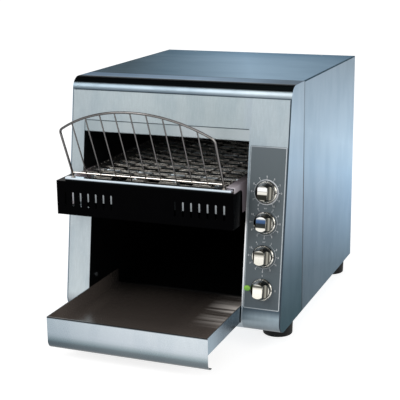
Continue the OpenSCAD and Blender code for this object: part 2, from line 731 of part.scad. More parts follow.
// outline of a line of width w along a path with square corners
module stroke(path, w) {
    last = len(path) - 1;
    function normal(i) = let (u = dir(path[i], path[i + 1])) w / 2 * [-u[1], u[0]];
    side = [for (i = [0 : last])
        i == 0 ? normal(0) : i == last ? normal(last - 1) : normal(i - 1) + normal(i)];
    polygon(concat([for (i = [0 : last]) path[i] + side[i]],
        [for (i = [last : -1 : 0]) path[i] - side[i]]));
}

// strands of wire, every second one on the outer layer, hooked over the next
module mesh_belt() on_feet() color("#8a8478") {
    pitch = loop_length() / strands;
    for (i = [0 : strands - 1]) {
        a = loop_at(i * pitch);
        b = loop_at(((i + 1) % strands) * pitch);
        chord = norm([b[0] - a[0], b[1] - a[1]]);
        tilt = atan2(b[1] - a[1], b[0] - a[0]);
        layer = i % 2 == 0 ? layer_gap / 2 : -layer_gap / 2 - wire_t;
        translate([0, a[0], a[1]]) rotate([tilt, 0, 0]) translate([0, 0, layer])
            multmatrix([[0, 1, 0, 0], [1, 0, 0, 0], [0, 0, 1, 0]])
                linear_extrude(wire_t) stroke(strand_path(chord, i), wire_t);
    }
}

module front_shaft() on_feet() color("#c9ced1") translate([0, -front_shaft_d, shaft_z]) {
    rod_x(plate_l - 0.5, plate_r - 0.5, shaft_d);
    shaft_collars();
}

module rear_shaft() on_feet() color("#c9ced1") translate([0, rear_shaft_d, shaft_z]) {
    rod_x(plate_l - 0.5, chain_x + chain_w / 2 + 4, shaft_d);
    shaft_collars();
}

// collars that keep a shaft between its bushes
module shaft_collars() {
    in = plate_t + bush_wall + 0.3;
    rod_x(plate_l + in, plate_l + in + 4, shaft_d + 5);
    rod_x(plate_r - in - 4, plate_r - in, shaft_d + 5);
}

function sprocket_xs() = [for (i = [0 : sprockets - 1])
    belt_mid + (i - (sprockets - 1) / 2) * sprocket_pitch];

module belt_sprockets() for (x = sprocket_xs()) translate([x, 0, 0]) difference() {
    union() {
        rotate([90, 0, 90]) translate([0, 0, -2]) linear_extrude(4) toothed(drum_r, 3.2, belt_teeth);
        rod_x(-6, 6, shaft_d + 8);
    }
    rod_x(-7, 7, shaft_d);
}

// a wheel with teeth of the given depth inside its tip circle
module toothed(tip_r, depth, teeth) {
    half = 90 / teeth;
    circle(r = tip_r - depth);
    for (i = [0 : teeth - 1]) rotate(i * 360 / teeth) polygon([
        polar(tip_r - depth - 1, -half), polar(tip_r, -half / 2),
        polar(tip_r, half / 2), polar(tip_r - depth - 1, half)]);
}

module front_sprockets() on_feet() color("#9aa0a4")
    translate([0, -front_shaft_d, shaft_z]) belt_sprockets();

module rear_sprockets() on_feet() color("#9aa0a4")
    translate([0, rear_shaft_d, shaft_z]) belt_sprockets();

module front_cover() on_feet() color("#141414") difference() {
    y0 = -cover_d;
    union() {
        box([-hw, cover_r], [y0, y0 + sheet], [cover_z0, cover_z1]);
        box([-hw, cover_r], [y0, y0 + ledge_d], [cover_z1 - sheet, cover_z1]);
        box([-hw, cover_r], [y0, y0 + 14], [cover_z0, cover_z0 + sheet]);
        along_x(-hw, -hw + sheet) cover_side(0);
        along_x(cover_r - sheet, cover_r) cover_side(8);
        // wing that closes the cover's left end against the front panel
        along_x(-hw, xl_up - inner_t) polygon([[y0, cover_z1 - sheet], [y0, cover_z1],
            [front_y(cover_z1), cover_z1], [front_y(cover_z1 - sheet), cover_z1 - sheet]]);
    }
    z = (cover_z0 + cover_z1) / 2 - 2;
    for (s = [-1, 1], i = [0 : slots - 1]) along_y(y0 - 1, y0 + 2 * sheet)
        translate([cover_mid + s * (slot_start + i * slot_pitch), z]) slot(slot_w, slot_h);
    peg_holes();
}

// end of the cover in (y, z); where r isn't 0 it stops short of the front panel above
module cover_side(r) {
    mid = cover_z0 + 18;
    rear = r == 0 ? front_y(cover_z1) : -cover_d + 40;
    polygon([[-cover_d, cover_z0], [-cover_d, cover_z1], [rear - r, cover_z1], [rear, cover_z1 - r],
        [r == 0 ? front_y(mid) : rear, mid], [front_y(mid), mid], [front_y(cover_z0), cover_z0]]);
    if (r > 0) translate([rear - r, cover_z1 - r]) circle(r = r);
}

function peg_xs() = [belt_l + guard_wire_d / 2 - 2, belt_r + guard_wire_d / 2 - 2];

module peg_holes() for (x = peg_xs()) translate([x, peg_y, cover_z0 + 10])
    cylinder(d = guard_wire_d + 0.6, h = ledge_z - cover_z0);

module loading_ledge() on_feet() color("#dde2e5") difference() {
    y0 = -cover_d;
    union() {
        box([ledge_l, ledge_r], [y0, y0 + 1], [cover_z1, ledge_z]);
        box([ledge_l, ledge_r], [y0, y0 + ledge_d], [ledge_z - 1, ledge_z]);
        box([ledge_l, ledge_r], [y0 + ledge_d - 1, y0 + ledge_d], [cover_z1, ledge_z]);
        for (x = [ledge_l, ledge_r - 1]) box([x, x + 1], [y0, y0 + ledge_d], [cover_z1, ledge_z]);
    }
    peg_holes();
}

// the guard lies in a leaning plane: across it x, along it its height s above the bend of the pegs
function guard_point(x, s) = [x, -s * sin(guard_lean), s * cos(guard_lean)];

// quarter or less of a bent wire in the plane of the guard, about (x, s), from angle a0 to a1
module guard_bend(x, s, r, a0, a1) translate(guard_point(x, s)) rotate([90 + guard_lean, 0, 0])
    rotate(a0) rotate_extrude(angle = a1 - a0, $fn = fine)
        translate([r, 0]) circle(d = guard_wire_d, $fn = 32);

module bread_guard() on_feet() color("#c8ccce") {
    half = (peg_xs()[1] - peg_xs()[0]) / 2;
    rise = guard_peak - guard_side;
    inner = half - guard_corner_r;
    arch_r = (inner * inner + rise * rise - guard_corner_r * guard_corner_r)
        / (2 * (rise - guard_corner_r));
    arch_s = guard_peak - arch_r;
    sweep = atan2(inner, guard_side - arch_s);
    // the pegs stand upright and bend into the leaning plane above their collars
    for (x = peg_xs()) translate([x, peg_y, ledge_z]) {
        translate([0, 0, -peg_l]) cylinder(d = guard_wire_d, h = peg_l + 2);
        cylinder(d = guard_wire_d + 3, h = 1.5);
        translate([0, -peg_bend_r, 2]) rotate([90, 0, 90]) rotate_extrude(angle = guard_lean, $fn = fine)
            translate([peg_bend_r, 0]) circle(d = guard_wire_d, $fn = 32);
    }
    translate([(peg_xs()[0] + peg_xs()[1]) / 2, peg_y - peg_bend_r * (1 - cos(guard_lean)),
        ledge_z + 2 + peg_bend_r * sin(guard_lean)]) {
        for (s = [-1, 1]) {
            wire(guard_point(s * half, 0), guard_point(s * half, guard_side), guard_wire_d);
            // sleeve over the joint of peg and frame
            wire(guard_point(s * half, -0.6), guard_point(s * half, 1.8), guard_wire_d + 1);
        }
        guard_bend(inner, guard_side, guard_corner_r, 0, 90 - sweep);
        guard_bend(-inner, guard_side, guard_corner_r, 90 + sweep, 180);
        guard_bend(0, arch_s, arch_r, 90 - sweep, 90 + sweep);
        wire(guard_point(-half, guard_foot), guard_point(half, guard_foot), guard_bar_d + 0.6);
        // every third bar goes on below the foot wire and stops just over the ledge
        stub = (guard_bar_d / 2 - 1.5 - peg_bend_r * sin(guard_lean)) / cos(guard_lean);
        for (i = [0 : guard_bars - 1]) let (x = (i - (guard_bars - 1) / 2) * guard_pitch)
            wire(guard_point(x, i % 3 == 0 ? stub : guard_foot),
                guard_point(x, arch_s + sqrt(arch_r * arch_r - x * x) + 1), guard_bar_d);
    }
}

// ---- tray ----

module tray_rails() on_feet() color("#9aa1a6") for (x = [tray_l + 30, tray_r - 30])
    along_y(-pan_front + 8, tray_tail) translate([x, 0]) bent_sheet([[-16, sheet], [-9, sheet],
        [-7, tray_z - rail_t], [7, tray_z - rail_t], [9, sheet], [16, sheet]], 1.6, rail_t);

module toast_tray() on_feet() color("#b5c0c7") {
    front = -tray_d;
    floor_z = tray_z + sheet;
    along_x(tray_l, tray_r) {
        bent_sheet([[front, tray_rim_z], [front, tray_lip_z], [front + tray_lip_r + 1.5, tray_lip_z]],
            tray_lip_r, sheet);
        translate([front + sheet, tray_z]) square([tray_d + tray_tail - sheet, sheet]);
        translate([front + sheet, tray_rim_z - 5]) square([sheet, 5]);
    }
    for (x = [tray_l, tray_r - sheet])
        box([x, x + sheet], [front + sheet, -chute_lip - 1], [tray_z, tray_rim_z]);
}

// ---- controls ----

// a control's body behind the panel, its threaded bush through it and its nut
module control(x, z, w, h, depth) on_feet() on_front(x, z) difference() {
    union() {
        translate([-w / 2, -h / 2, -sheet - depth]) cube([w, h, depth]);
        translate([0, 0, -sheet]) cylinder(d = bush_d, h = sheet + overlay_t + nut_h + 1);
        translate([0, 0, overlay_t]) cylinder(d = 15, h = nut_h, $fn = 6);
    }
    translate([0, 0, -sheet - depth / 2]) cylinder(d = spindle_d + 2 * run_gap, h = depth);
}

module speed_control() color("#3f5f4c") control(dial_x, dial_top, 26, 28, body_d - 8);

module top_heat_control() color("#d8d2c4") control(dial_x, dial_top - speed_pitch, 40, 34, body_d);

module bottom_heat_control() color("#d8d2c4") control(dial_x, dial_z + dial_pitch, 40, 34, body_d);

module power_switch() color("#2b2b2b") control(dial_x, dial_z, 34, 36, body_d + 6);

module knob(z, depth) on_feet() on_front(dial_x, z) {
    base = overlay_t + 0.5;
    scoop_r = knob_h - skirt_h - 4;
    translate([0, 0, base]) difference() {
        rotate_extrude($fn = fine) knob_profile();
        for (s = [-1, 1]) translate([s * (grip_w / 2 + scoop_r), 0, knob_h + 0.01])
            rotate([90, 0, 0]) cylinder(r = scoop_r, h = knob_d + 2, center = true, $fn = fine);
        translate([0, 0, -1]) cylinder(d = 18, h = nut_h + 3);
        // pointer notch in the skirt
        translate([-0.7, knob_d / 2 - 1.5, -1]) cube([1.4, 3, skirt_h + 1.8]);
    }
    translate([0, 0, 0.5 - sheet - depth / 2])
        cylinder(d = spindle_d, h = base + knob_h - 4.5 + sheet + depth / 2);
}

// half section of a knob: skirt, groove and a domed body that narrows to the length of the grip
module knob_profile() {
    r = knob_d / 2;
    body_r = r - 1.6;
    rise = knob_h - skirt_h;
    draw = body_r - grip_l / 2;
    dome_r = (rise * rise + draw * draw) / (2 * draw);
    polygon([[0, 0], [r, 0], [r, skirt_h - 1], [r - 1, skirt_h], [0, skirt_h]]);
    intersection() {
        translate([body_r - dome_r, skirt_h]) circle(r = dome_r, $fn = 4 * fine);
        square([r, knob_h]);
    }
}

module speed_knob() color("#dfe3e5") knob(dial_top, body_d - 8);

module top_heat_knob() color("#dfe3e5") knob(dial_top - speed_pitch, body_d);

module bottom_heat_knob() color("#dfe3e5") knob(dial_z + dial_pitch, body_d);

module power_knob() color("#dfe3e5") knob(dial_z, body_d + 6);

module signal_lamp() on_feet() color("#7ccf3a") on_front(lamp_x, dial_z) {
    translate([0, 0, overlay_t]) linear_extrude(2.5) rotate(90) slot(8, 10);
    translate([0, 0, -sheet - 16]) cylinder(d = lamp_d, h = sheet + 16 + overlay_t);
}

// four-way block for the mains wires, on the pan
module terminal_block() on_feet() color("#e3ddcc") {
    x0 = xr + inner_t + 8;
    way = [26, 11, 16];
    pitch = way[1] + 1;
    for (i = [0 : 3]) translate([x0, terminal_y + pitch * i, sheet]) difference() {
        cube(way);
        translate([way[0] / 2, way[1] / 2, way[2] / 2]) cylinder(d = screw_d, h = way[2]);
    }
    box([x0, x0 + way[0]], [terminal_y, terminal_y + 4 * pitch - 1], [sheet, sheet + 4]);
}

// circuit board on four posts, with a relay and a capacitor
module control_board() on_feet() color("#2f6b3c") {
    x = xr + inner_t;
    face = x + board_post + 1.6;
    box([x + board_post, face], [board_y, board_y + board_w], [board_z, board_z + board_h]);
    for (y = [6, board_w - 6], z = [6, board_h - 6])
        translate([0, board_y + y, board_z + z]) rod_x(x, x + board_post, 6);
    box([face, face + 14], [board_y + 12, board_y + 34], [board_z + 12, board_z + 36]);
    translate([0, board_y + board_w * 0.7, board_z + board_h / 2]) rod_x(face, face + 16, 16);
}

// ---- drive ----

module motor_bracket() on_feet() color("#a7adb1") difference() {
    union() {
        box([motor_x, motor_x + bracket_t], [motor_y - bracket_w / 2, motor_y + bracket_w / 2],
            [sheet, motor_z + gearbox_rise + 6]);
        box([motor_x, motor_x + bracket_foot], [motor_y - bracket_w / 2, motor_y + bracket_w / 2],
            [sheet, sheet + bracket_t]);
    }
    translate([0, motor_y, motor_z]) rod_x(motor_x - 1, motor_x + 4, 22);
}

module gear_motor() on_feet() color("#54595d") translate([0, motor_y, 0]) difference() {
    face = motor_x + bracket_t;
    union() {
        box([face, face + gearbox_t], [-gearbox_w / 2, gearbox_w / 2],
            [motor_z - gearbox_drop, motor_z + gearbox_rise]);
        translate([0, 0, motor_z]) rod_x(motor_x - 1, face, 20);
        translate([0, 0, motor_z - 14]) rod_x(face + gearbox_t, hw - sheet - 6, motor_can_d);
    }
    translate([0, 0, motor_z]) rod_x(motor_x - 2, motor_x + 16, 8 + 2 * run_gap);
}

module chain_sprocket(teeth, bore)
    rotate([90, 0, 90]) translate([0, 0, -1.2]) linear_extrude(2.4) difference() {
        toothed(sprocket_r(teeth) - 2, 2, teeth);
        circle(d = bore);
    }

module motor_sprocket() on_feet() color("#8f9599") translate([0, motor_y, motor_z]) {
    translate([chain_x, 0, 0]) chain_sprocket(motor_teeth, 8);
    rod_x(chain_x - 4, motor_x + 12, 8);
}

module chain_wheel() on_feet() color("#8f9599") translate([chain_x, rear_shaft_d, shaft_z]) {
    chain_sprocket(drive_teeth, shaft_d);
    difference() {
        rod_x(-5, -1.2, shaft_d + 8);
        rod_x(-6, 0, shaft_d);
    }
}

// two strands of link plates with a roller at every pitch
module drive_chain() on_feet() color("#6c6f71") {
    a = [motor_y, motor_z];
    b = [rear_shaft_d, shaft_z];
    gap = norm(b - a);
    slope = atan2(b[1] - a[1], b[0] - a[0]);
    open = asin((drive_r - motor_r) / gap);
    run = gap * cos(open);
    for (s = [-1, 1]) translate([chain_x + s * 2.2, 0, 0]) along_x(-0.5, 0.5) difference() {
        chain_area(a, b, slope, open, chain_half);
        chain_area(a, b, slope, open, -chain_half);
    }
    rollers = floor((2 * run + PI * (drive_r + motor_r)) / chain_pitch);
    around = (drive_r * (180 + 2 * open) + motor_r * (180 - 2 * open)) * PI / 180;
    step = (2 * run + around) / rollers;
    for (i = [0 : rollers - 1]) let (p = chain_point(i * step, a, b, slope, open, run))
        translate([chain_x, p[0], p[1]]) rod_x(-1.7, 1.7, 3.3);
}

// block on the chamber wall that the chain's lower strand slides on
module chain_guide() on_feet() color("#e8e6df") {
    a = [motor_y, motor_z];
    v = [rear_shaft_d, shaft_z] - a;
    tilt = atan2(v[1], v[0]) - asin((drive_r - motor_r) / norm(v));
    along_x(xr + inner_t, chain_x + chain_w / 2) translate(a) rotate(tilt)
        translate([norm(v) * 0.4, -motor_r - chain_half - 8]) square([norm(v) * 0.2, 8]);
}

module chain_area(a, b, slope, open, grow) {
    u = slope + 90 + open;
    v = slope - 90 - open;
    translate(a) circle(r = motor_r + grow, $fn = fine);
    translate(b) circle(r = drive_r + grow, $fn = fine);
    polygon([a + polar(motor_r + grow, u), b + polar(drive_r + grow, u),
        b + polar(drive_r + grow, v), a + polar(motor_r + grow, v)]);
}

function chain_point(s, a, b, slope, open, run) =
    let (u = slope + 90 + open, big = drive_r * PI * (180 + 2 * open) / 180)
    s < run ? a + polar(motor_r, u) + s * polar(1, slope + open)
    : s < run + big ? b + polar(drive_r, u - (s - run) / drive_r * 180 / PI)
    : s < 2 * run + big ? b + polar(drive_r, slope - 90 - open) - (s - run - big) * polar(1, slope - open)
    : a + polar(motor_r, slope - 90 - open - (s - 2 * run - big) / motor_r * 180 / PI);

module fan_frame() on_feet() color("#1f2022") translate([fan_x, 0, fan_z]) {
    y1 = case_d - sheet;
    difference() {
        box([-fan_w / 2, fan_w / 2], [y1 - 20, y1], [-fan_w / 2, fan_w / 2]);
        rod_y(y1 - 21, y1 + 1, fan_w - 3);
    }
    difference() {
        union() {
            rod_y(y1 - 3, y1, 20);
            for (a = [45 : 90 : 315]) rotate([0, a, 0]) box([-1.5, 1.5], [y1 - 3, y1], [8, fan_w / 2 - 1]);
        }
        rod_y(y1 - 5, y1 + 1, 4 + 2 * run_gap);
    }
}

module fan_rotor() on_feet() color("#2b2d30") translate([fan_x, 0, fan_z]) {
    y1 = case_d - sheet;
    rod_y(y1 - 17, y1 - 4, 20);
    rod_y(y1 - 8, y1 - 0.5, 4);
    intersection() {
        for (a = [0 : 72 : 288]) rotate([0, a, 0]) translate([0, y1 - 10.5, 9])
            rotate([0, 0, 35]) translate([-7, -0.6, 0]) cube([14, 1.2, fan_w / 2]);
        rod_y(y1 - 17, y1 - 4, fan_w - 5);
    }
}

module cord_gland() on_feet() color("#232323") translate([fan_x, 0, gland_z]) difference() {
    union() {
        rod_y(case_d - 10, case_d + 4, gland_d);
        rod_y(case_d, case_d + 4, 24);
        rod_y(case_d + 4, case_d + gland_out, 17);
        rod_y(case_d - sheet - 4, case_d - sheet, 22);
    }
    rod_y(case_d - 11, case_d + gland_out + 1, 9);
}

// ---- feet and screws ----

module feet() on_feet() color("#1c1c1c") for (p = foot_places()) translate([p[0], p[1], -foot_h])
    rotate_extrude($fn = fine) difference() {
        r = foot_d / 2;
        union() {
            polygon([[0, 0], [r - 3, 0], [r - 1, 2], [r, foot_h], [0, foot_h]]);
            translate([r - 3, 2]) circle(r = 2, $fn = 32);
        }
        translate([-1, -1]) square([8, 13]);
        translate([-1, -1]) square([1 + foot_screw_d / 2, foot_h + 2]);
    }

module foot_screws() on_feet() color("#b9bec2") for (p = foot_places()) translate([p[0], p[1], -foot_h]) {
    translate([0, 0, 9]) cylinder(d = 10, h = 3);
    translate([0, 0, 11]) cylinder(d = foot_screw_d, h = foot_h - 11 + sheet + 5);
    translate([0, 0, foot_h + sheet]) cylinder(d = foot_screw_d + 4, h = 4, $fn = 6);
}

module casing_screws() on_feet() color("#c5cacd") {
    for (s = [-1, 1], z = back_screw_levels()) translate([s * (hw - flange / 2 - 1), 0, z]) {
        rod_y(case_d - 8, case_d + 0.5, screw_d);
        rod_y(case_d, case_d + 2.2, 8);
    }
    for (x = top_screw_places()) translate([x, case_d - 12, case_h - sheet]) {
        translate([0, 0, -7]) cylinder(d = screw_d, h = 7 + sheet);
        translate([0, 0, -sheet - 3.2]) cylinder(d = 7, h = 3.2, $fn = 6);
    }
}

base_pan();
left_side_panel();
right_side_panel();
top_cover();
back_panel();
front_bezel();
front_panel();
inlet_baffle();
control_overlay();
left_chamber_wall();
right_chamber_wall();
upper_reflector();
lower_reflector();
toast_chute();
wall_screws();
upper_quartz_tubes();
lower_quartz_tubes();
tube_end_caps();
heater_coils();
left_side_plate();
right_side_plate();
front_cross_plate();
frame_spacers();
shaft_bushes();
belt_rests();
mesh_belt();
front_cover();
loading_ledge();
tray_rails();
gear_motor();
motor_bracket();
drive_chain();
chain_guide();
fan_frame();
speed_control();
top_heat_control();
bottom_heat_control();
power_switch();
signal_lamp();
terminal_block();
control_board();
cord_gland();
feet();
foot_screws();
casing_screws();
front_shaft();
front_sprockets();
rear_shaft();
rear_sprockets();
chain_wheel();
motor_sprocket();
fan_rotor();
toast_tray();
bread_guard();
speed_knob();
top_heat_knob();
bottom_heat_knob();
power_knob();
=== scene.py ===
import math

import bpy
from mathutils import Matrix, Vector

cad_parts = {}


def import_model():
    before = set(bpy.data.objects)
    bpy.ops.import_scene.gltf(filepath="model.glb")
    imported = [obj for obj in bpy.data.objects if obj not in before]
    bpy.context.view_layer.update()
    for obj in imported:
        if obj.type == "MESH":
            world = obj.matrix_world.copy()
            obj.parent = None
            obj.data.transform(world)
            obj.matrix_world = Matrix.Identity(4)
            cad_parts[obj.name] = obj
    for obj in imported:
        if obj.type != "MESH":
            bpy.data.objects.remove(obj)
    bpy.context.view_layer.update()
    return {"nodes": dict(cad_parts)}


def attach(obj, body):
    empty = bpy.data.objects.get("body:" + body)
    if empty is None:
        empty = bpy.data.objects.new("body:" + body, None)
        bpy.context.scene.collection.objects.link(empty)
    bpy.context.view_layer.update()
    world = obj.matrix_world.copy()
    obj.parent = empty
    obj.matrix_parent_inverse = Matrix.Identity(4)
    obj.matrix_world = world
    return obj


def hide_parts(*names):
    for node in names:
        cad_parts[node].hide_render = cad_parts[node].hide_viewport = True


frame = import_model()

MM = 0.001
SEAM_Y = -44.0                      # body frame of the part's source: y is counted from the seam
FOOT_H = 29.5                       # and z from the casing's bottom edge
SHIFT = {"X": 0.0, "Y": SEAM_Y, "Z": FOOT_H}
HALF_W, CASE_H, CASE_D = 184.0, 377.0, 331.0        # CASE_D is the depth behind the seam
FOOT_D, HEAD_D = 119.4, 63.6        # the front's distance before the seam, at its foot and its head
LEAN = math.atan((FOOT_D - HEAD_D) / CASE_H)
UP_SLOPE = (0.0, math.sin(LEAN), math.cos(LEAN))
OUT_OF_SLOPE = (0.0, -math.cos(LEAN), math.sin(LEAN))


def at(x, y, z):
    """A point of the body frame, in millimetres, in the row frame."""
    return Vector((x * MM, (y + SEAM_Y) * MM, (z + FOOT_H) * MM))


def front_y(z):
    """The sloping front's place in y at a height, both in the body frame."""
    return -FOOT_D + z * math.tan(LEAN)


# ---- camera ----

CAMERA_AZ, CAMERA_EL, CAMERA_ROLL = 21.662, 14.616, -0.674      # degrees, fitted to the photograph
CAMERA_AT = (0.63474, -1.62181, 0.64447)
SENSOR_W, LENS = 36, 95.68


def make_camera():
    """The photograph's view: from the right of the front, a little above."""
    data = bpy.data.cameras.new("camera")
    obj = bpy.data.objects.new("camera", data)
    bpy.context.scene.collection.objects.link(obj)
    az, el, roll = (math.radians(a) for a in (CAMERA_AZ, CAMERA_EL, CAMERA_ROLL))
    back = Vector((math.sin(az) * math.cos(el), -math.cos(az) * math.cos(el), math.sin(el)))
    level = Vector((math.cos(az), math.sin(az), 0))
    upright = back.cross(level)
    right = level * math.cos(roll) + upright * math.sin(roll)
    up = -level * math.sin(roll) + upright * math.cos(roll)
    pose = Matrix((right, up, back)).transposed().to_4x4()
    pose.translation = Vector(CAMERA_AT)
    obj.matrix_world = pose
    data.sensor_width = SENSOR_W
    data.lens = LENS
    data.clip_start = 0.05
    data.clip_end = 50
    bpy.context.scene.camera = obj


make_camera()


# ---- materials ----

WHITE, BLACK = (1.0, 1.0, 1.0, 1.0), (0.0, 0.0, 0.0, 1.0)
TRAY_L, TRAY_R, TRAY_D, TRAY_T = -142.8, 118.8, 256.0, 0.6      # TRAY_T is its sheet's thickness
OPENING_L, OPENING_R = -140.0, 120.0                # the legs beside the openings start here
BAFFLE_BEND = CASE_H - 66 - 1.6
BLIND_SLOTS = (-169, 19.6)                          # slots of the cover that let no light through
DIAL_X, DIAL_LEVELS = 151.5, (69.5, 120.5, 171.5, 218.0)        # the dials, from the lowest up


def lin(h):
    """A colour written as six hex digits, as the shader's linear values."""
    out = []
    for i in (0, 2, 4):
        c = int(h[i:i + 2], 16) / 255
        out.append(c / 12.92 if c <= 0.04045 else ((c + 0.055) / 1.055) ** 2.4)
    return (*out, 1.0)


def tint(c, k):
    """A colour made darker, or lighter, by a factor."""
    return (c[0] * k, c[1] * k, c[2] * k, 1.0)


class Graph:
    """A node tree and the few kinds of node that the looks are made of."""

    def __init__(self, tree):
        self.tree = tree

    def node(self, kind, **props):
        n = self.tree.nodes.new("ShaderNode" + kind)
        for key, value in props.items():
            setattr(n, key, value)
        return n

    def link(self, a, b):
        self.tree.links.new(a, b)

    def feed(self, value, socket):
        """Set a plain number or colour on a socket, or link a node's output to it."""
        if isinstance(value, (int, float, tuple)):
            socket.default_value = value
        else:
            self.link(value, socket)

    def spread(self, value, a, b, c=0.0, d=1.0, smooth=False):
        """c where the value is a, d where it is b, and between them in between."""
        n = self.node("MapRange")
        n.interpolation_type = "SMOOTHSTEP" if smooth else "LINEAR"
        for key, v in (("From Min", a), ("From Max", b), ("To Min", c), ("To Max", d)):
            n.inputs[key].default_value = v
        self.link(value, n.inputs["Value"])
        return n.outputs[0]

    def ramp(self, value, stops):
        n = self.node("ValToRGB")
        e = n.color_ramp.elements
        while len(e) < len(stops):
            e.new(0.5)
        for i, (pos, colour) in enumerate(stops):
            e[i].position = pos
            e[i].color = colour
        self.link(value, n.inputs[0])
        return n.outputs[0]

    def mix(self, fac, a, b, how="MIX"):
        """Two colours mixed."""
        n = self.node("Mix", data_type="RGBA", blend_type=how)
        for value, socket in ((fac, n.inputs[0]), (a, n.inputs[6]), (b, n.inputs[7])):
            self.feed(value, socket)
        return n.outputs[2]

    def times(self, a, b):
        """Two colours multiplied."""
        return self.mix(1.0, a, b, "MULTIPLY")

    def blend(self, fac, a, b):
        """Two numbers mixed."""
        n = self.node("Mix")
        for value, socket in ((fac, n.inputs[0]), (a, n.inputs[2]), (b, n.inputs[3])):
            self.feed(value, socket)
        return n.outputs[0]

    def math(self, how, a, b=0.0):
        n = self.node("Math", operation=how)
        self.feed(a, n.inputs[0])
        self.feed(b, n.inputs[1])
        return n.outputs[0]

    def along(self, value, direction):
        """The part of a coordinate or a normal along a direction."""
        n = self.node("VectorMath", operation="DOT_PRODUCT")
        n.inputs[1].default_value = direction
        self.link(value, n.inputs[0])
        return n.outputs["Value"]


class Mat(Graph):
    """A principled material with its patterns in the row frame."""

    def __init__(self, name, rough, metal, **sockets):
        self.mat = bpy.data.materials.new(name)
        self.mat.use_nodes = True
        super().__init__(self.mat.node_tree)
        self.tree.nodes.clear()
        out = self.node("OutputMaterial")
        self.bsdf = self.node("BsdfPrincipled")
        self.link(self.bsdf.outputs[0], out.inputs[0])
        self.bsdf.inputs["Roughness"].default_value = rough
        self.bsdf.inputs["Metallic"].default_value = metal
        for key, value in sockets.items():
            self.bsdf.inputs[key.replace("_", " ")].default_value = value
        coords = self.node("TexCoord").outputs
        self.coord, self.normal = coords["Object"], coords["Normal"]

    def noise(self, scale, detail=3.0, rough=0.5, stretch=(1, 1, 1), turn=(0, 0, 0)):
        m = self.node("Mapping")
        m.inputs["Scale"].default_value = stretch
        m.inputs["Rotation"].default_value = turn
        self.link(self.coord, m.inputs["Vector"])
        n = self.node("TexNoise")
        n.inputs["Scale"].default_value = scale
        n.inputs["Detail"].default_value = detail
        n.inputs["Roughness"].default_value = rough
        self.link(m.outputs[0], n.inputs["Vector"])
        return n.outputs["Fac"]

    def axis(self, name, low, high):
        """0 at low and 1 at high along an axis of the row frame, in metres."""
        s = self.node("SeparateXYZ")
        self.link(self.coord, s.inputs[0])
        return self.spread(s.outputs[name], low, high)

    def colour(self, value):
        self.feed(value, self.bsdf.inputs["Base Color"])

    def sheen(self, value):
        """Tint the shine at grazing angles, differently over the surface."""
        self.link(value, self.bsdf.inputs["Specular Tint"])

    def glow(self, value, strength):
        self.link(value, self.bsdf.inputs["Emission Color"])
        self.bsdf.inputs["Emission Strength"].default_value = strength

    def rough(self, value, low, high):
        self.link(self.spread(value, 0.3, 0.7, low, high), self.bsdf.inputs["Roughness"])

    def bump(self, value, strength, depth):
        n = self.node("Bump")
        n.inputs["Strength"].default_value = strength
        n.inputs["Distance"].default_value = depth
        self.link(value, n.inputs["Height"])
        self.link(n.outputs[0], self.bsdf.inputs["Normal"])


# ---- kinds of material ----

GRAIN = {"x": (0.06, 1, 1), "y": (1, 0.06, 1), "z": (1, 1, 0.06)}
GRAIN_SCALE, STREAK_SCALE, CLOUD_SCALE = 2600, 420, 26
STREAK_STRETCH, CLOUD_STRETCH = 0.02, 0.4           # along the grain


def brushed(name, colour, grain, rough=0.34, metal=0.92, contrast=0.1, bump=0.12, streaks=0.35,
            clouds=0.06, **sockets):
    """Brushed sheet: streaks along the grain, faint clouds, a few rubbed spots.

    colour is one colour, or a function that gives the sheet's light and dark.
    """
    m = Mat(name, rough, metal, **sockets)
    stretch = GRAIN[grain]
    fine = m.noise(GRAIN_SCALE, 4, 0.6, stretch)
    streak = m.noise(STREAK_SCALE, 3, 0.5, tuple(1 if v == 1 else STREAK_STRETCH for v in stretch))
    cloud = m.noise(CLOUD_SCALE, 3, 0.55, tuple(1 if v == 1 else CLOUD_STRETCH for v in stretch))
    base = colour(m) if callable(colour) else colour
    dark = m.times(base, (1 - contrast,) * 3 + (1,))
    light = m.times(base, (1 + contrast * 0.4,) * 3 + (1,))
    body = m.mix(m.spread(fine, 0.3, 0.7), dark, light)
    body = m.mix(m.spread(streak, 0.35, 0.65, 0, streaks), body, dark)
    rubbed = m.times(body, tuple(1 - clouds * k for k in (1, 0.8, 0.65)) + (1,))
    m.colour(m.mix(m.spread(cloud, 0.42, 0.62, smooth=True), body, rubbed))
    both = m.math("ADD", m.math("MULTIPLY", fine, 0.6), m.math("MULTIPLY", cloud, 0.4))
    m.rough(both, rough - 0.05, rough + 0.09)
    m.bump(fine, bump, 0.00008)
    return m


def polished(name, colour, rough=0.1):
    """Bright plated metal with a faint haze and fine wipe marks."""
    m = Mat(name, rough, 1.0)
    haze = m.noise(60, 4, 0.6)
    wipe = m.noise(900, 2, 0.5, (1, 0.2, 0.6), (0.4, 0.2, 0.7))
    m.colour(m.mix(m.spread(haze, 0.35, 0.75, smooth=True), colour, tint(colour, 0.86)))
    both = m.math("ADD", m.math("MULTIPLY", haze, 0.5), m.math("MULTIPLY", wipe, 0.5))
    m.rough(both, max(rough - 0.04, 0.02), rough + 0.09)
    m.bump(wipe, 0.03, 0.00005)
    return m


def mottled(name, a, b, rough, metal, scale, bump, depth=0.0001, **sockets):
    """Cast, moulded or painted surface: two close tones in a fine cloud, and its own texture."""
    m = Mat(name, rough, metal, **sockets)
    cloud = m.noise(scale, 4, 0.6)
    fine = m.noise(scale * 22, 2, 0.5)
    m.colour(m.mix(m.spread(cloud, 0.3, 0.7, smooth=True), a, b))
    m.rough(cloud, max(rough - 0.06, 0.03), rough + 0.08)
    m.bump(fine, bump, depth)
    return m


# ---- places on a surface, in the body frame and in millimetres ----

def colours(stops, low=0.0, high=1.0):
    """Stops (place, hex colour) as a ramp's stops from 0 at low to 1 at high."""
    return [((place - low) / (high - low), lin(colour)) for place, colour in stops]


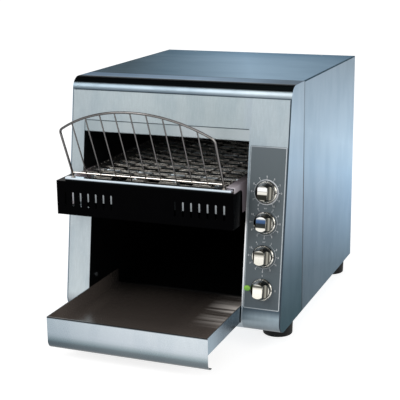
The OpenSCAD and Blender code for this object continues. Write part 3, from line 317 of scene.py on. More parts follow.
def band(m, axis, low, high, *stops):
    """Colours along an axis, from low to high."""
    shift = SHIFT[axis]
    value = m.axis(axis, (low + shift) * MM, (high + shift) * MM)
    return m.ramp(value, colours(stops, low, high))


def slant(m, direction, shift, low, high, *stops):
    """Colours along a slanting direction, whose zero is shifted like the axes'."""
    value = m.spread(m.along(m.coord, direction), (low + shift) * MM, (high + shift) * MM)
    return m.ramp(value, colours(stops, low, high))


def beyond(m, axis, mm, soft=0.2):
    """0 before and 1 after a place along an axis."""
    middle = mm + SHIFT[axis]
    return m.axis(axis, (middle - soft / 2) * MM, (middle + soft / 2) * MM)


def before(m, axis, mm, soft=0.2):
    """1 before and 0 after a place along an axis."""
    return m.math("SUBTRACT", 1.0, beyond(m, axis, mm, soft))


def within(m, axis, low, high, soft=0.2):
    """1 between two places along an axis."""
    return m.math("MULTIPLY", beyond(m, axis, low, soft), before(m, axis, high, soft))


def outside(m, mm):
    """1 where a point lies further than this to the left or the right."""
    return m.math("MAXIMUM", beyond(m, "X", mm), before(m, "X", -mm))


# ---- painted light and shade over each sheet ----

SIDE_SLANT = 0.27           # how far the painted bright band on the side sheets drops towards the back
LID_SLANT = 0.394           # how far the painted bright band on the lid leans back to the left
LID_SHIFT = -17.0           # from the body frame to the row frame, along that slant
SIDE_BACK = 294.0           # where the side sheets are painted brightest towards the back
SKIN = 0.15                 # a point this near the casing's side lies on its outer face


def side_shade(m):
    """The side sheets in painted light: a soft bright band that slants down to the back, over a
    slate foot.
    """
    light = slant(m, (0.0, SIDE_SLANT, 1.0), FOOT_H + SIDE_SLANT * SEAM_Y, 6, 449,
                  (6, "364d58"), (75, "466070"), (187, "86a5bf"), (245, "a1c3de"),
                  (300, "b1cee4"), (390, "92acc0"), (449, "7a92a3"))
    # painted shade: a little darker towards the front
    depth = m.axis("Y", SEAM_Y * MM, (SIDE_BACK + SEAM_Y) * MM)
    sheet = m.times(light, m.mix(depth, lin("e2e2e2"), WHITE))
    # a painted shadow line along the seam with the bezel, fainter towards the top
    seam = band(m, "Y", -3, 6, (-3, "ffffff"), (-0.8, "eef0f2"), (0, "394148"), (2.6, "424a51"),
                (3.8, "a9afb5"), (5.5, "ffffff"))
    faint = m.spread(m.axis("Z", 0.25, 0.36), 0, 1, 0, 0.6)
    return m.times(sheet, m.mix(faint, seam, WHITE))


def cheek_tint(m):
    """Less grazing shine low on the cheeks, where they mirror the bench."""
    return band(m, "Z", 0, CASE_H, (0, "b9c6ca"), (65, "c8d3d7"), (120, "dde4e9"), (190, "ffffff"))


def side_tint(m):
    """A little less grazing shine low on the side sheets."""
    return band(m, "Z", 0, CASE_H, (0, "e6eff6"), (65, "ebf3fa"), (120, "f3f8fd"), (190, "ffffff"))


def edged_side(m):
    """The side sheets with a painted shadow line where the lid lies on them."""
    return m.mix(beyond(m, "Z", CASE_H - 1.7, 0.6), side_shade(m), lin("2f3d48"))


def bezel_shade(m):
    """Cheeks like the side sheets; on the nose painted reflections: a dark roll over a bright one,
    and a flat top.
    """
    # painted reflections on the nose's roll: a dark band over a bright one, brighter to the right
    roll = band(m, "Z", CASE_H - 22, CASE_H, (CASE_H - 18.6, "47525a"), (CASE_H - 17.6, "828d94"),
                (CASE_H - 12.5, "adb8be"), (CASE_H - 10, "a3aeb4"), (CASE_H - 7.5, "0d1112"))
    across = band(m, "X", -HALF_W, HALF_W, (-184, "b2bac0"), (20, "ccd3d9"), (110, "f4f6f8"),
                  (184, "ffffff"))
    roll = m.times(roll, across)
    # near the left end, below the roll, a plain grey instead of the painted roll
    off_edge = m.math("MAXIMUM", beyond(m, "X", -180, 1), beyond(m, "Z", CASE_H - 19, 1))
    roll = m.mix(off_edge, lin("8696a4"), roll)
    # painted reflection on the flat top: dark at its front edge, a bright strip, then blue, dimmer
    # towards both ends
    flat = band(m, "Y", -44, 0, (-44, "0a0e0f"), (-42, "14191b"), (-40.5, "d3e2ee"),
                (-37, "e0edf8"), (-34.5, "bcd6ec"), (-3, "b0cbe2"), (-1.2, "56697b"))
    flat_reflection_fade = band(m, "X", -HALF_W, HALF_W, (-184, "9eb0be"), (-140, "a8bac8"), (-50, "cfdbe5"),
                (20, "eef4f9"), (110, "d0d8de"), (160, "969ea5"), (184, "969ea5"))
    nose = m.mix(beyond(m, "Z", CASE_H - 0.2, 0.1), roll, m.times(flat, flat_reflection_fade))
    return m.mix(outside(m, HALF_W - SKIN), nose, side_shade(m))


def top_shade(m):
    """The lid in painted light: dark at its left front, brightest along a slant through the middle.
    """
    light = slant(m, (1.0, LID_SLANT, 0.0), LID_SHIFT, -190, 330, (-190, "2b2621"),
                  (-125, "2f2923"), (-47, "6f7e8b"), (100, "c6d7e6"), (330, "8292a0"))
    back = band(m, "Y", 0, CASE_D, (0, "ffffff"), (230, "fafdff"), (331, "b4cad8"))
    # painted shade along the lid's side edges
    return m.mix(outside(m, HALF_W - 2.2), m.times(light, back), lin("1d2830"))


def front_shade(m):
    """The sloping face in painted light: even at the head, darker down the control leg, reflections
    round the chin.
    """
    head = band(m, "X", -HALF_W, HALF_W, (-184, "a6b1b6"), (-60, "afbabe"), (60, "aab6ba"),
                (184, "b0bcc2"))
    # painted shade down the control leg, with painted reflection bands round the chin
    leg = band(m, "Z", 0, 320, (0, "62696e"), (10, "808b92"), (26, "a2b2bb"), (36.5, "56646e"),
               (60, "5d6b76"), (170, "7d8d99"), (300, "b0bcc2"))
    # a painted highlight along the opening's edge beside the leg
    inner_edge_highlight = band(m, "Z", 0, 320, (0, "8d979f"), (36, "c5d0d6"), (60, "f4f8fa"),
                      (170, "ffffff"), (215, "b4bec4"), (240, "97a3ab"), (300, "aab6be"))
    leg = m.mix(beyond(m, "X", OPENING_R + 2.2, 0.6), inner_edge_highlight, leg)
    # painted shade on the left leg, darkest at the chin
    left = band(m, "Z", 0, 300, (0, "474e54"), (10, "596165"), (18, "a2a9ad"), (30, "bfc9cd"),
                (120, "b7c1c6"), (240, "a7b2b7"))
    face = m.mix(beyond(m, "X", OPENING_R - 8, 10), head, leg)
    face = m.mix(beyond(m, "X", OPENING_L, 6), left, face)
    # a painted shadow line along the right edge
    return m.mix(beyond(m, "X", HALF_W - 2.4), face, lin("4d5a66"))


def tray_shade(m):
    """Painted light: outside pale, darker over the lip; inside dark, as it mirrors the chamber."""
    # painted shade over the lip, with a painted shadow line along the top hem
    front = band(m, "Z", -13, 40, (-13, "54585a"), (-10, "5f6669"), (-3, "687176"),
                 (0.5, "6e787c"), (3.5, "869499"), (7.5, "a6b1b6"), (11, "bcc5cb"),
                 (16, "c6ced4"), (37.4, "cdd5da"), (38.6, "2b2f31"))
    across = band(m, "X", -143, 119, (-143, "c9d0d5"), (-14, "f2f3f5"), (119, "ffffff"))
    front = m.times(front, across)
    # painted reflection on the outer sides, lighter and bluish towards the front
    sides = band(m, "Y", -TRAY_D, -20, (-256, "879caa"), (-190, "5a6d7b"), (-20, "38474f"))
    # painted reflection inside, dark from the chamber, with painted bright streaks towards the
    # right
    inner = band(m, "Y", -TRAY_D, 0, (-256, "6b625d"), (-200, "5d5551"), (-120, "6e6762"),
                 (-40, "7b746f"), (0, "242221"))
    shine = band(m, "X", -143, 119, (-143, "b0aaa5"), (-110, "6f6a66"), (20, "6f6965"),
                 (80, "b3ada8"), (104, "fff8f2"), (119, "cfc9c3"))
    behind_front = beyond(m, "Y", -TRAY_D + TRAY_T, 0.1)
    skin = m.mix(behind_front, front, m.times(inner, shine))
    ends = m.math("MAXIMUM", beyond(m, "X", TRAY_R - TRAY_T, 0.1),
                  before(m, "X", TRAY_L + TRAY_T, 0.1))
    ends = m.math("MULTIPLY", ends, behind_front)
    return m.mix(before(m, "Z", 0, 1), m.mix(ends, skin, sides), front)


def tray_glow(m):
    """Painted light, as a glow inside the tray: warm towards the front, bright streaks at the back
    right.
    """
    glow_along_y = band(m, "Y", -TRAY_D, 0, (-256, "57504b"), (-215, "6a625d"), (-160, "4d4743"),
                   (-110, "3a3532"), (-40, "141312"), (0, "0a0a0a"))
    streaks = m.noise(110, 3, 0.5, (0.06, 1, 1))
    right = m.mix(m.spread(streaks, 0.42, 0.6), lin("4a4543"), lin("fff8f2"))
    right = m.mix(m.axis("Y", -0.11, -0.05), right, lin("141312"))
    right = m.mix(m.axis("Y", -0.21, -0.15), glow_along_y, right)
    return m.mix(beyond(m, "X", 70, 50), glow_along_y, right)


def tray_inside(m):
    """1 on the tray's inner faces."""
    level = m.math("MULTIPLY", beyond(m, "Z", TRAY_T), beyond(m, "Y", -TRAY_D + TRAY_T, 0.1))
    return m.math("MULTIPLY", level, within(m, "X", TRAY_L + TRAY_T, TRAY_R - TRAY_T, 0.1))


def plate_shade(m):
    """The belt's side plates in painted light: pinkish grey where they stand out in the light,
    painted black inside.
    """
    return band(m, "Y", -134, 0, (-134, "b5aeb3"), (-112, "9a9297"), (-96, "6e666c"),
                (-70, "4c4649"), (-40, "131313"), (0, "101010"))


def cross_shade(m):
    """The frame's front plate, painted bright where light falls on it through the cover's slots."""
    painted_slot_light = band(m, "Z", 165, 225, (165, "0a0b0b"), (176, "1d1f20"), (184, "393c3e"),
               (187, "7f8487"), (206, "a9aeb1"), (212, "6f7477"))
    # painted shade behind the slots that let no light through
    shut = 0.0
    for x in BLIND_SLOTS:
        shut = m.math("MAXIMUM", within(m, "X", x - 6, x + 6), shut)
    return m.mix(shut, painted_slot_light, lin("111314"))


def baffle_shade(m):
    """The strip behind the opening's upper edge, with a painted shadow over its bent top."""
    strip = band(m, "X", -160, 120, (-160, "98a3a7"), (-90, "a9b2b5"), (-20, "9aa5a9"),
                 (30, "b2b9bc"), (80, "a0aaad"), (120, "adb6ba"))
    return m.mix(beyond(m, "Z", BAFFLE_BEND, 0.8), strip, lin("465055"))


def ledge_shade(m):
    """The loading ledge: painted shade in the fold under a painted highlight on the rounded top."""
    return band(m, "Z", 221, 229, (221, "060707"), (224.2, "0a0b0c"), (225.2, "8d979e"),
                (226, "d3dde5"), (227.6, "c3cfd8"), (228.2, "dfe7ed"))


def shine_shade(m, lean, *stops):
    """Bright metal in painted reflections: light and dark by which way the surface faces."""
    return m.ramp(m.spread(m.along(m.normal, lean), -1, 1), colours(stops))


# A dial's chrome as painted reflections: round its dome by angle, up the grip's flanks by height,
# over the hollows beside the grip by which way they face, and up each grip's face, from the lowest
# dial to the top one.
KNOB_BACK = ((0, "4a4842"), (0.12, "cfccc1"), (0.2, "4a4842"), (0.27, "dad7cc"), (0.36, "55534c"),
             (0.47, "f4f2ea"), (0.54, "e4e1d7"), (0.62, "2c2b27"), (0.7, "5b5a54"), (0.8, "ffffff"),
             (0.9, "2c2c28"), (1, "4a4842"))
KNOB_SIDE = ((0, "2c2b27"), (0.45, "3a3934"), (0.7, "87857c"), (0.85, "c9c6bb"), (1, "f3f0e7"))
KNOB_SCOOP = ((0, "5f5d56"), (0.22, "a3a197"), (0.34, "f4f2ea"), (0.5, "e9e6dc"), (0.58, "7b7971"),
              (0.68, "33322d"), (0.8, "9c9a90"), (0.9, "55534c"), (1, "2c2b27"))
KNOB_FACES = (
    ((-11, "e4e1d6"), (2, "f2efe6"), (5, "d8d5ca"), (6.5, "77756d"), (8, "3e3e39"),
     (9.5, "96948b"), (11, "f5f4ee")),
    ((-11, "dedbd0"), (1, "efece2"), (4, "bcb9ae"), (6, "55544d"), (8, "4a4943"),
     (9.5, "a9a79d"), (11, "f5f4ee")),
    ((-11, "f5f3ec"), (-6, "eeebe2"), (-5, "383a34"), (1, "2e3438"), (2, "3f5778"),
     (6, "4a6690"), (7.5, "8e9aa8"), (8.6, "fbfbf8"), (11, "ffffff")),
    ((-11, "d8d4c8"), (-9.5, "2c2c28"), (-2.5, "30302b"), (-1.5, "e9e6db"), (2, "f0eee6"),
     (2.6, "9c9a92"), (3.4, "ffffff"), (8, "ffffff"), (10, "8b8980")))
GRIP_R = 11                 # half the height of a grip's face
FLANK_LOW, FLANK_HIGH = 0.004, 0.021                # heights above the panel, in metres
TIP_LOW, TIP_HIGH = 0.017, 0.018                    # where the grip's face starts


def knob_shade(m, level, face):
    """Chrome knob in painted reflections: bands round its dome by the way they face, and a banded
    face on the grip.
    """
    foot = at(0, front_y(level), level)
    rise = m.math("SUBTRACT", m.along(m.coord, UP_SLOPE), foot.dot(Vector(UP_SLOPE)))
    tip = m.math("SUBTRACT", m.along(m.coord, OUT_OF_SLOPE), foot.dot(Vector(OUT_OF_SLOPE)))
    # the dome, by the angle that it faces round the axis
    join = m.node("CombineXYZ")
    m.link(m.along(m.normal, (1.0, 0.0, 0.0)), join.inputs[0])
    m.link(m.along(m.normal, UP_SLOPE), join.inputs[1])
    turn = m.node("TexGradient", gradient_type="RADIAL")
    m.link(join.outputs[0], turn.inputs[0])
    dome = m.ramp(turn.outputs[1], colours(KNOB_BACK))
    # hollows and flanks, which face straight across
    across = m.math("ABSOLUTE", m.along(m.normal, (1.0, 0.0, 0.0)))
    straight = m.spread(m.math("ABSOLUTE", m.along(m.normal, UP_SLOPE)), 0.03, 0.06, 1, 0)
    hollow = m.math("MULTIPLY", straight, m.spread(across, 0.02, 0.05))
    dome = m.mix(hollow, dome, m.ramp(across, colours(KNOB_SCOOP)))
    flank = m.ramp(m.spread(tip, FLANK_LOW, FLANK_HIGH), colours(KNOB_SIDE))
    dome = m.mix(m.spread(across, 0.96, 0.985), dome, flank)
    # the grip's flat face
    grip = m.ramp(m.spread(rise, -GRIP_R * MM, GRIP_R * MM), colours(face, -GRIP_R, GRIP_R))
    flat = m.spread(m.along(m.normal, OUT_OF_SLOPE), 0.985, 0.995)
    return m.mix(m.math("MULTIPLY", flat, m.spread(tip, TIP_LOW, TIP_HIGH)), dome, grip)


# ---- every material ----

# Materials of two close tones: name, tones, roughness, metal, scale of the clouds, bump, the rest.
MOTTLED = {
    "zinc": ("zinc_plate", "a9b0b4", "8f979b", 0.38, 0.9, 160, 0.1),
    "wire": ("belt_wire", "b5b1aa", "7c7770", 0.28, 0.95, 240, 0.15),
    "cover": ("black_enamel", "010102", "020203", 0.2, 0.0, 40, 0.03,
              {"Specular_IOR_Level": 0.012}),
    "film": ("overlay_film", "5b626a", "646b73", 0.42, 0.0, 30, 0.08),
    "print": ("overlay_print", "e8ebee", "d5d9dd", 0.5, 0.0, 200, 0.05),
    # the border is a painted highlight of the overlay's raised edge
    "border": ("overlay_border", "a9b4bc", "9ba6ae", 0.4, 0.3, 200, 0.05),
    "rubber": ("rubber", "0a0b0c", "111213", 0.6, 0.0, 120, 0.35,
               {"depth": 0.0002, "Specular_IOR_Level": 0.2}),
    "quartz": ("quartz", "dfe6e8", "cbd3d6", 0.3, 0.0, 50, 0.1, {"Transmission_Weight": 0.5}),
    "ceramic": ("ceramic", "e4dfd2", "d3ccbd", 0.65, 0.0, 120, 0.2),
    "coil": ("heating_wire", "7a5a47", "4a3a33", 0.5, 0.7, 300, 0.3),
    "bronze": ("bronze", "a98b4e", "8a6d3a", 0.35, 0.95, 150, 0.1),
    "motor": ("motor_paint", "3c4144", "4a5053", 0.5, 0.2, 200, 0.25),
    "chain": ("chain_steel", "5c5f61", "3f4142", 0.4, 0.9, 260, 0.2),
    "black": ("black_plastic", "1b1c1e", "252729", 0.5, 0.0, 140, 0.25),
    "pale": ("pale_plastic", "ddd6c4", "cfc7b3", 0.55, 0.0, 120, 0.2),
    "green": ("green_plastic", "2f5f44", "274f39", 0.45, 0.0, 120, 0.2),
    "board": ("circuit_board", "1f6b38", "175a2d", 0.3, 0.0, 200, 0.15),
    "lamp": ("lamp_lens", "6fb43a", "4f9a2c", 0.2, 0.0, 160, 0.15,
             {"depth": 0.0002, "Transmission_Weight": 0.2, "Emission_Color": lin("7cc23c"),
              "Emission_Strength": 0.15}),
}


def make_materials():
    mats = {
        "side": brushed("steel_side", edged_side, "z", 0.4, contrast=0.07),
        "bezel": brushed("steel_bezel", bezel_shade, "z", contrast=0.05),
        # painted reflection: the lid's grazing shine is tinted blue
        "top": brushed("steel_top", top_shade, "x", metal=1.0, contrast=0.06,
                       Specular_Tint=lin("a6bcca")),
        "front": brushed("steel_front", front_shade, "z", 0.36, contrast=0.13, streaks=0.7,
                         clouds=0.1),
        "baffle": brushed("steel_baffle", baffle_shade, "z", 0.45, contrast=0.08, bump=0.03),
        "tray": brushed("steel_tray", tray_shade, "z", 0.24, contrast=0.04, bump=0.04),
        "back": brushed("steel_back", lin("8794a0"), "z", 0.42, contrast=0.08),
        "wall": brushed("steel_wall", lin("1e2224"), "y", 0.34, 0.8, contrast=0.2),
        "chute": brushed("steel_chute", lin("1b1d1e"), "x", 0.3, 0.85, contrast=0.2),
        "plate": brushed("steel_plate", plate_shade, "y", 0.3, 0.6),
        "cross": brushed("steel_cross", cross_shade, "y", 0.3, 0.5),
        "ledge": brushed("ledge_chrome", ledge_shade, "x", 0.14, 1.0, contrast=0.03),
        "chrome": polished("chrome", lin("b9b5b0"), 0.07),
        "reflector": polished("reflector", lin("b8bec2"), 0.2),
    }
    for key, (name, a, b, rough, metal, scale, bump, *rest) in MOTTLED.items():
        mats[key] = mottled(name, lin(a), lin(b), rough, metal, scale, bump,
                            **(rest[0] if rest else {}))
    for i, (level, face) in enumerate(zip(DIAL_LEVELS, KNOB_FACES)):
        knob = mats["knob_%d" % i] = polished("knob_chrome_%d" % i, lin("ece8dc"))
        knob.colour(knob_shade(knob, level, face))

    side, bezel, tray, plate, cross = (mats[k] for k in ("side", "bezel", "tray", "plate", "cross"))
    side.sheen(side_tint(side))
    bezel.sheen(bezel.mix(outside(bezel, HALF_W - SKIN), lin("a9adb0"), cheek_tint(bezel)))
    tray.link(tray.spread(tray_inside(tray), 0, 1, 0.92, 0.3), tray.bsdf.inputs["Metallic"])
    # painted light: the tray's inside, the belt's side plates and the frame's front plate glow,
    # though none is a lamp
    tray.glow(tray.mix(tray_inside(tray), BLACK, tray_glow(tray)), 0.3)
    plate.glow(plate_shade(plate), 0.5)
    cross.glow(cross_shade(cross), 0.8)

    chrome = mats["chrome"]
    # painted reflections on the guard: the foot wire bright where it faces up, the arched wire
    # darker
    foot = shine_shade(chrome, (0.15, -0.55, 0.82), (0, "2c2a28"), (0.5, "423e3b"),
                       (0.72, "7b756f"), (0.86, "c4bcb4"), (0.95, "f6efe8"), (1, "ffffff"))
    arch_reflection = shine_shade(chrome, (0.5, -0.75, 0.2), (0, "19191a"), (0.55, "2f2f31"),
                       (0.75, "4a494a"), (0.88, "6e6c6b"), (0.96, "aaa7a4"), (1, "c6c3c0"))
    chrome.colour(chrome.mix(beyond(chrome, "Z", 242, 8), foot, arch_reflection))

    film = mats["film"]
    tone = band(film, "Z", 38, 287, (38, "4a565d"), (90, "505c62"), (200, "545f64"),
                (287, "5b666b"))
    cloud = film.spread(film.noise(30, 4, 0.6), 0.3, 0.7, 0, 0.5, True)
    film.colour(film.mix(cloud, tone, lin("5e676d")))

    border = mats["border"]
    # painted light: the border line is brighter towards the right
    tone = band(border, "X", 122, 182, (122, "7f8a92"), (150, "98a2a9"), (178, "c9cfd4"),
                (182, "dfe4e7"))
    border.colour(border.mix(border.noise(200), tone, lin("b4bdc3")))

    lens = mats["lamp"]
    # painted light on the lens: brightest near its top, shaded at the bottom
    lens.colour(band(lens, "Z", 62, 77, (62, "2f5a1c"), (66, "4b8a28"), (70, "86c23e"),
                     (74, "a3d64e"), (77, "5f9a30")))
    return {key: m.mat for key, m in mats.items()}


MATS = make_materials()
USES = {
    "side": "left_side_panel right_side_panel", "top": "top_cover", "back": "back_panel base_pan",
    "bezel": "front_bezel", "front": "front_panel", "baffle": "inlet_baffle",
    "film": "control_overlay", "wall": "left_chamber_wall right_chamber_wall",
    "reflector": "upper_reflector lower_reflector", "chute": "toast_chute",
    "quartz": "upper_quartz_tubes lower_quartz_tubes", "ceramic": "tube_end_caps",
    "coil": "heater_coils", "plate": "left_side_plate right_side_plate",
    "cross": "front_cross_plate",
    "zinc": "wall_screws frame_spacers belt_rests tray_rails motor_bracket foot_screws "
            "casing_screws front_shaft rear_shaft front_sprockets rear_sprockets chain_wheel "
            "motor_sprocket",
    "bronze": "shaft_bushes", "wire": "mesh_belt", "cover": "front_cover", "ledge": "loading_ledge",
    "chrome": "bread_guard", "knob_3": "speed_knob", "knob_2": "top_heat_knob",
    "knob_1": "bottom_heat_knob", "knob_0": "power_knob",
    "tray": "toast_tray", "motor": "gear_motor", "chain": "drive_chain",
    "black": "fan_frame fan_rotor cord_gland power_switch",
    "pale": "chain_guide top_heat_control bottom_heat_control terminal_block",
    "green": "speed_control", "board": "control_board", "lamp": "signal_lamp", "rubber": "feet"}
for key, names in USES.items():
    for name in names.split():
        frame["nodes"][name].material_slots[0].material = MATS[key]


# ---- mesh helpers ----

def piece(name, build, mat, body, *nodes, smooth=True):
    """A mesh piece in the row frame that rides on a body and stands for the named CAD nodes."""
    mesh = bpy.data.meshes.new(name)
    mesh.from_pydata([tuple(v) for v in build.verts], [], build.faces)
    mesh.validate()
    mesh.polygons.foreach_set("use_smooth", [smooth] * len(mesh.polygons))
    obj = bpy.data.objects.new(name, mesh)
    bpy.context.scene.collection.objects.link(obj)
    mesh.materials.append(MATS[mat])
    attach(obj, body)
    if nodes:
        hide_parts(*nodes)


class Build:
    """Collects the vertices and faces of one piece."""

    def __init__(self):
        self.verts, self.faces = [], []

    def add(self, verts, faces):
        n = len(self.verts)
        self.verts += verts
        self.faces += [tuple(i + n for i in f) for f in faces]

    def tube(self, path, r, sides=8, closed=False):
        """A round wire of radius r along a path of points, closed or with flat ends."""
        n = len(path)
        rounds, normal = [], None
        for i, point in enumerate(path):
            a = path[i - 1] if closed or i else point
            b = path[(i + 1) % n] if closed or i < n - 1 else point
            ahead = (b - a).normalized()
            if normal is None:
                normal = ahead.orthogonal().normalized()
            normal = (normal - ahead * normal.dot(ahead)).normalized()
            side = ahead.cross(normal)
            rounds.append([point + r * (math.cos(k * math.tau / sides) * normal
                                        + math.sin(k * math.tau / sides) * side)
                           for k in range(sides)])
        # where the wire closes, its last round is turned against the first
        turned = 0
        if closed:
            first = rounds[0][0] - path[0]
            nearest = min(range(sides), key=lambda k: (rounds[-1][k] - path[-1] - first).length)
            turned = (sides - nearest) % sides
        faces = []
        for i in range(n if closed else n - 1):
            j = (i + 1) % n
            off = 0 if j else turned
            for k in range(sides):
                nxt = (k + 1) % sides
                faces.append((i * sides + k, i * sides + nxt, j * sides + (nxt - off) % sides,
                              j * sides + (k - off) % sides))
        if not closed:
            faces.append(tuple(range(sides - 1, -1, -1)))
            faces.append(tuple((n - 1) * sides + k for k in range(sides)))
        self.add([v for each in rounds for v in each], faces)


def fillet(path, r, steps=3):
    """The path with each inner corner rounded to radius r, or less where it is tight."""
    out = [path[0]]
    for a, b, c in zip(path, path[1:], path[2:]):
        u, v = (b - a).normalized(), (c - b).normalized()
        angle = u.angle(v)
        if angle < 0.02:
            out.append(b)
            continue
        back = min(r * math.tan(angle / 2), (b - a).length * 0.48, (c - b).length * 0.48)
        radius = back / math.tan(angle / 2)
        centre = b + (v - u).normalized() * (radius / math.cos(angle / 2))
        start = b - u * back
        axis = u.cross(v).normalized()
        for k in range(steps + 1):
            out.append(centre + Matrix.Rotation(angle * k / steps, 3, axis) @ (start - centre))
    out.append(path[-1])
    return out


# ---- mesh belt ----

BELT_L, BELT_R = -155.5, 98.3
SHAFT_Z, FRONT_SHAFT, REAR_SHAFT = 209.5, -100.0, 225.0
STRANDS, BENDS, WIRE = 60, 9, 1.5
WRAP_R = 22 - WIRE - 0.45 * WIRE / 2                # the belt's middle round its wheels
RISE, OVERLAP = 0.88, 0.7   # a strand's ends lie this far off the middle and past its pitch
BEND_R, END_INSET = 2.2, 0.75
CURL_INSET, CURL_WIRE = 2.4, 0.62   # the curled ends: their place, the radius of their wire,
CURL_X, CURL_Y, CURL_Z = 0.5, 1.75, 1.3             # and how far they reach from their middle


def round_shaft(y, a):
    """Point (y, z) and outward normal at an angle round a shaft."""
    out = (math.cos(a), math.sin(a))
    return (y + WRAP_R * out[0], SHAFT_Z + WRAP_R * out[1]), out


def loop_at(s):
    """Point (y, z) and outward normal at a distance along the belt's loop."""
    run, half = REAR_SHAFT - FRONT_SHAFT, math.pi * WRAP_R
    s %= 2 * (run + half)
    if s < run:
        return (FRONT_SHAFT + s, SHAFT_Z + WRAP_R), (0, 1)
    if s < run + half:
        return round_shaft(REAR_SHAFT, math.pi / 2 - (s - run) / WRAP_R)
    if s < 2 * run + half:
        return (REAR_SHAFT - (s - run - half), SHAFT_Z - WRAP_R), (0, -1)
    return round_shaft(FRONT_SHAFT, -math.pi / 2 - (s - 2 * run - half) / WRAP_R)


def make_belt():
    """Round wire strands, each hooked over the next one's cross wires, with curled ends."""
    build = Build()
    pitch = 2 * (REAR_SHAFT - FRONT_SHAFT + math.pi * WRAP_R) / STRANDS
    cell = (BELT_R - BELT_L) / BENDS - 2 * END_INSET / BENDS
    for i in range(STRANDS):
        (a, a_out), (b, b_out) = loop_at(i * pitch), loop_at((i + 1) * pitch)
        ahead = Vector((b[0] - a[0], b[1] - a[1])).normalized()
        low = Vector(a) - RISE * Vector(a_out) - OVERLAP * ahead
        high = Vector(b) + RISE * Vector(b_out) + OVERLAP * ahead
        path = [at(BELT_L + END_INSET + q * cell, *(high if (k + i) % 2 else low))
                for k in range(BENDS) for q in (k, k + 1)]
        build.tube(fillet(path, BEND_R * MM), WIRE / 2 * MM)
        # curled ends round the next strand's cross wire
        y, z = Vector(b)
        for x in (BELT_L + CURL_INSET, BELT_R - CURL_INSET):
            curl = [at(x + CURL_X * math.sin(t), y + CURL_Y * math.cos(t), z + CURL_Z * math.sin(t))
                    for t in (math.tau * q / 10 for q in range(10))]
            build.tube(curl, CURL_WIRE * MM, 6, True)
    piece("belt_wires", build, "wire", "chassis", "mesh_belt")


make_belt()


# ---- printed marks on the control overlay ----

OVERLAY_T = 0.6
OVERLAY_LOW, OVERLAY_HIGH, OVERLAY_W = 38.0, 287.0, 58.8
PRINT_LOW, PRINT_HIGH = OVERLAY_T - 0.02, OVERLAY_T + 0.06
BORDER_X, BORDER_INSET, BORDER_R, BORDER_W = 152, 1.0, 2.2, 1.3
TICK_R, TICK_LENGTH, TICK_W = 21.0, 2.0, 0.55
FIGURE_R, FIGURE_H, FIGURE_STEP = 23.9, 2.7, 30     # the circle that a dial's figures stand on
FIGURES = {1: (30, 1), 2: (30, 1), 3: (-150, 0)}    # by dial: the first one's place and its value
DOT_R = 0.9                         # it ends a row that starts with 1
ON_OFF_R, O_H, I_H, OFF_R, OFF_H = 21.5, 2.6, 3.4, 22.0, 1.9
RING_R, RING_HOLE_R, RING_SHIFT = 19.5, 18.3, -0.95
CURVE_STEPS, CURVE_START, CURVE_TURN, CURVE_R, CURVE_PIECE = 30, 60, 6, 19.9, 2.15


def on_panel(x, z, u, v, w):
    """A point on the sloping front: u to the right, v up the slope, w outwards, from (x, z)."""
    return at(x + u, front_y(z) + v * math.sin(LEAN) - w * math.cos(LEAN),
              z + v * math.cos(LEAN) + w * math.sin(LEAN))


def mark(build, x, z, outline, hole=()):
    """A thin printed shape, its outline and that of its hole as (u, v) in equal counts."""
    verts = [on_panel(x, z, u, v, w) for w in (PRINT_LOW, PRINT_HIGH) for u, v in (*outline, *hole)]
    n = len(outline)
    if hole:
        faces = []
        for k in range(n):
            nxt = (k + 1) % n
            faces += [(2 * n + k, 2 * n + nxt, 3 * n + nxt, 3 * n + k), (nxt, k, n + k, n + nxt),
                      (k, nxt, 2 * n + nxt, 2 * n + k), (n + nxt, n + k, 3 * n + k, 3 * n + nxt)]
    else:
        faces = [tuple(range(n - 1, -1, -1)), tuple(range(n, 2 * n))]
        faces += [(k, (k + 1) % n, n + (k + 1) % n, n + k) for k in range(n)]
    build.add(verts, faces)


def disc(r, n=48, u=0.0, v=0.0):
    """A circle's outline, in n points round (u, v)."""
    return [(u + r * math.cos(math.tau * k / n), v + r * math.sin(math.tau * k / n))
            for k in range(n)]


def bar(u, v, w, h, turn=0.0):
    """A bar's outline, w by h round (u, v) and turned."""
    c, s = math.cos(turn), math.sin(turn)
    return [(u + c * a - s * b, v + s * a + c * b)
            for a, b in ((-w / 2, -h / 2), (w / 2, -h / 2), (w / 2, h / 2), (-w / 2, h / 2))]


def spoke(r, a, w, h):
    """A bar at a distance and an angle, w long outwards and h across."""
    return bar(r * math.cos(a), r * math.sin(a), w, h, a)


STROKES = {"0": "abcdef", "1": "bc", "2": "abged", "3": "abgcd", "4": "fgbc", "5": "afgcd",
           "6": "afgedc", "7": "abc", "8": "abcdefg", "9": "abcdfg", "O": "abcdef", "F": "afge",
           "I": "ef"}
STROKE_AT = {"a": (0, 1, True), "g": (0, 0, True), "d": (0, -1, True), "f": (-1, 0.5, False),
             "b": (1, 0.5, False), "e": (-1, -0.5, False), "c": (1, -0.5, False)}


def letters(build, x, z, text, u, v, h):
    """Digits and plain capitals O, F and I, drawn with strokes and centred on (u, v)."""
    w, t = h * 0.56, h * 0.2
    for i, ch in enumerate(text):
        cu = u + (i - (len(text) - 1) / 2) * (w + h * 0.3)
        for stroke in STROKES[ch]:
            sx, sy, flat = STROKE_AT[stroke]
            sx = 0 if ch in "1I" else sx
            centre = (cu + sx * (w - t) / 2, v + sy * (h - t) / 2)
            mark(build, x, z, bar(*centre, *((w, t) if flat else (t, (h + t) / 2))))


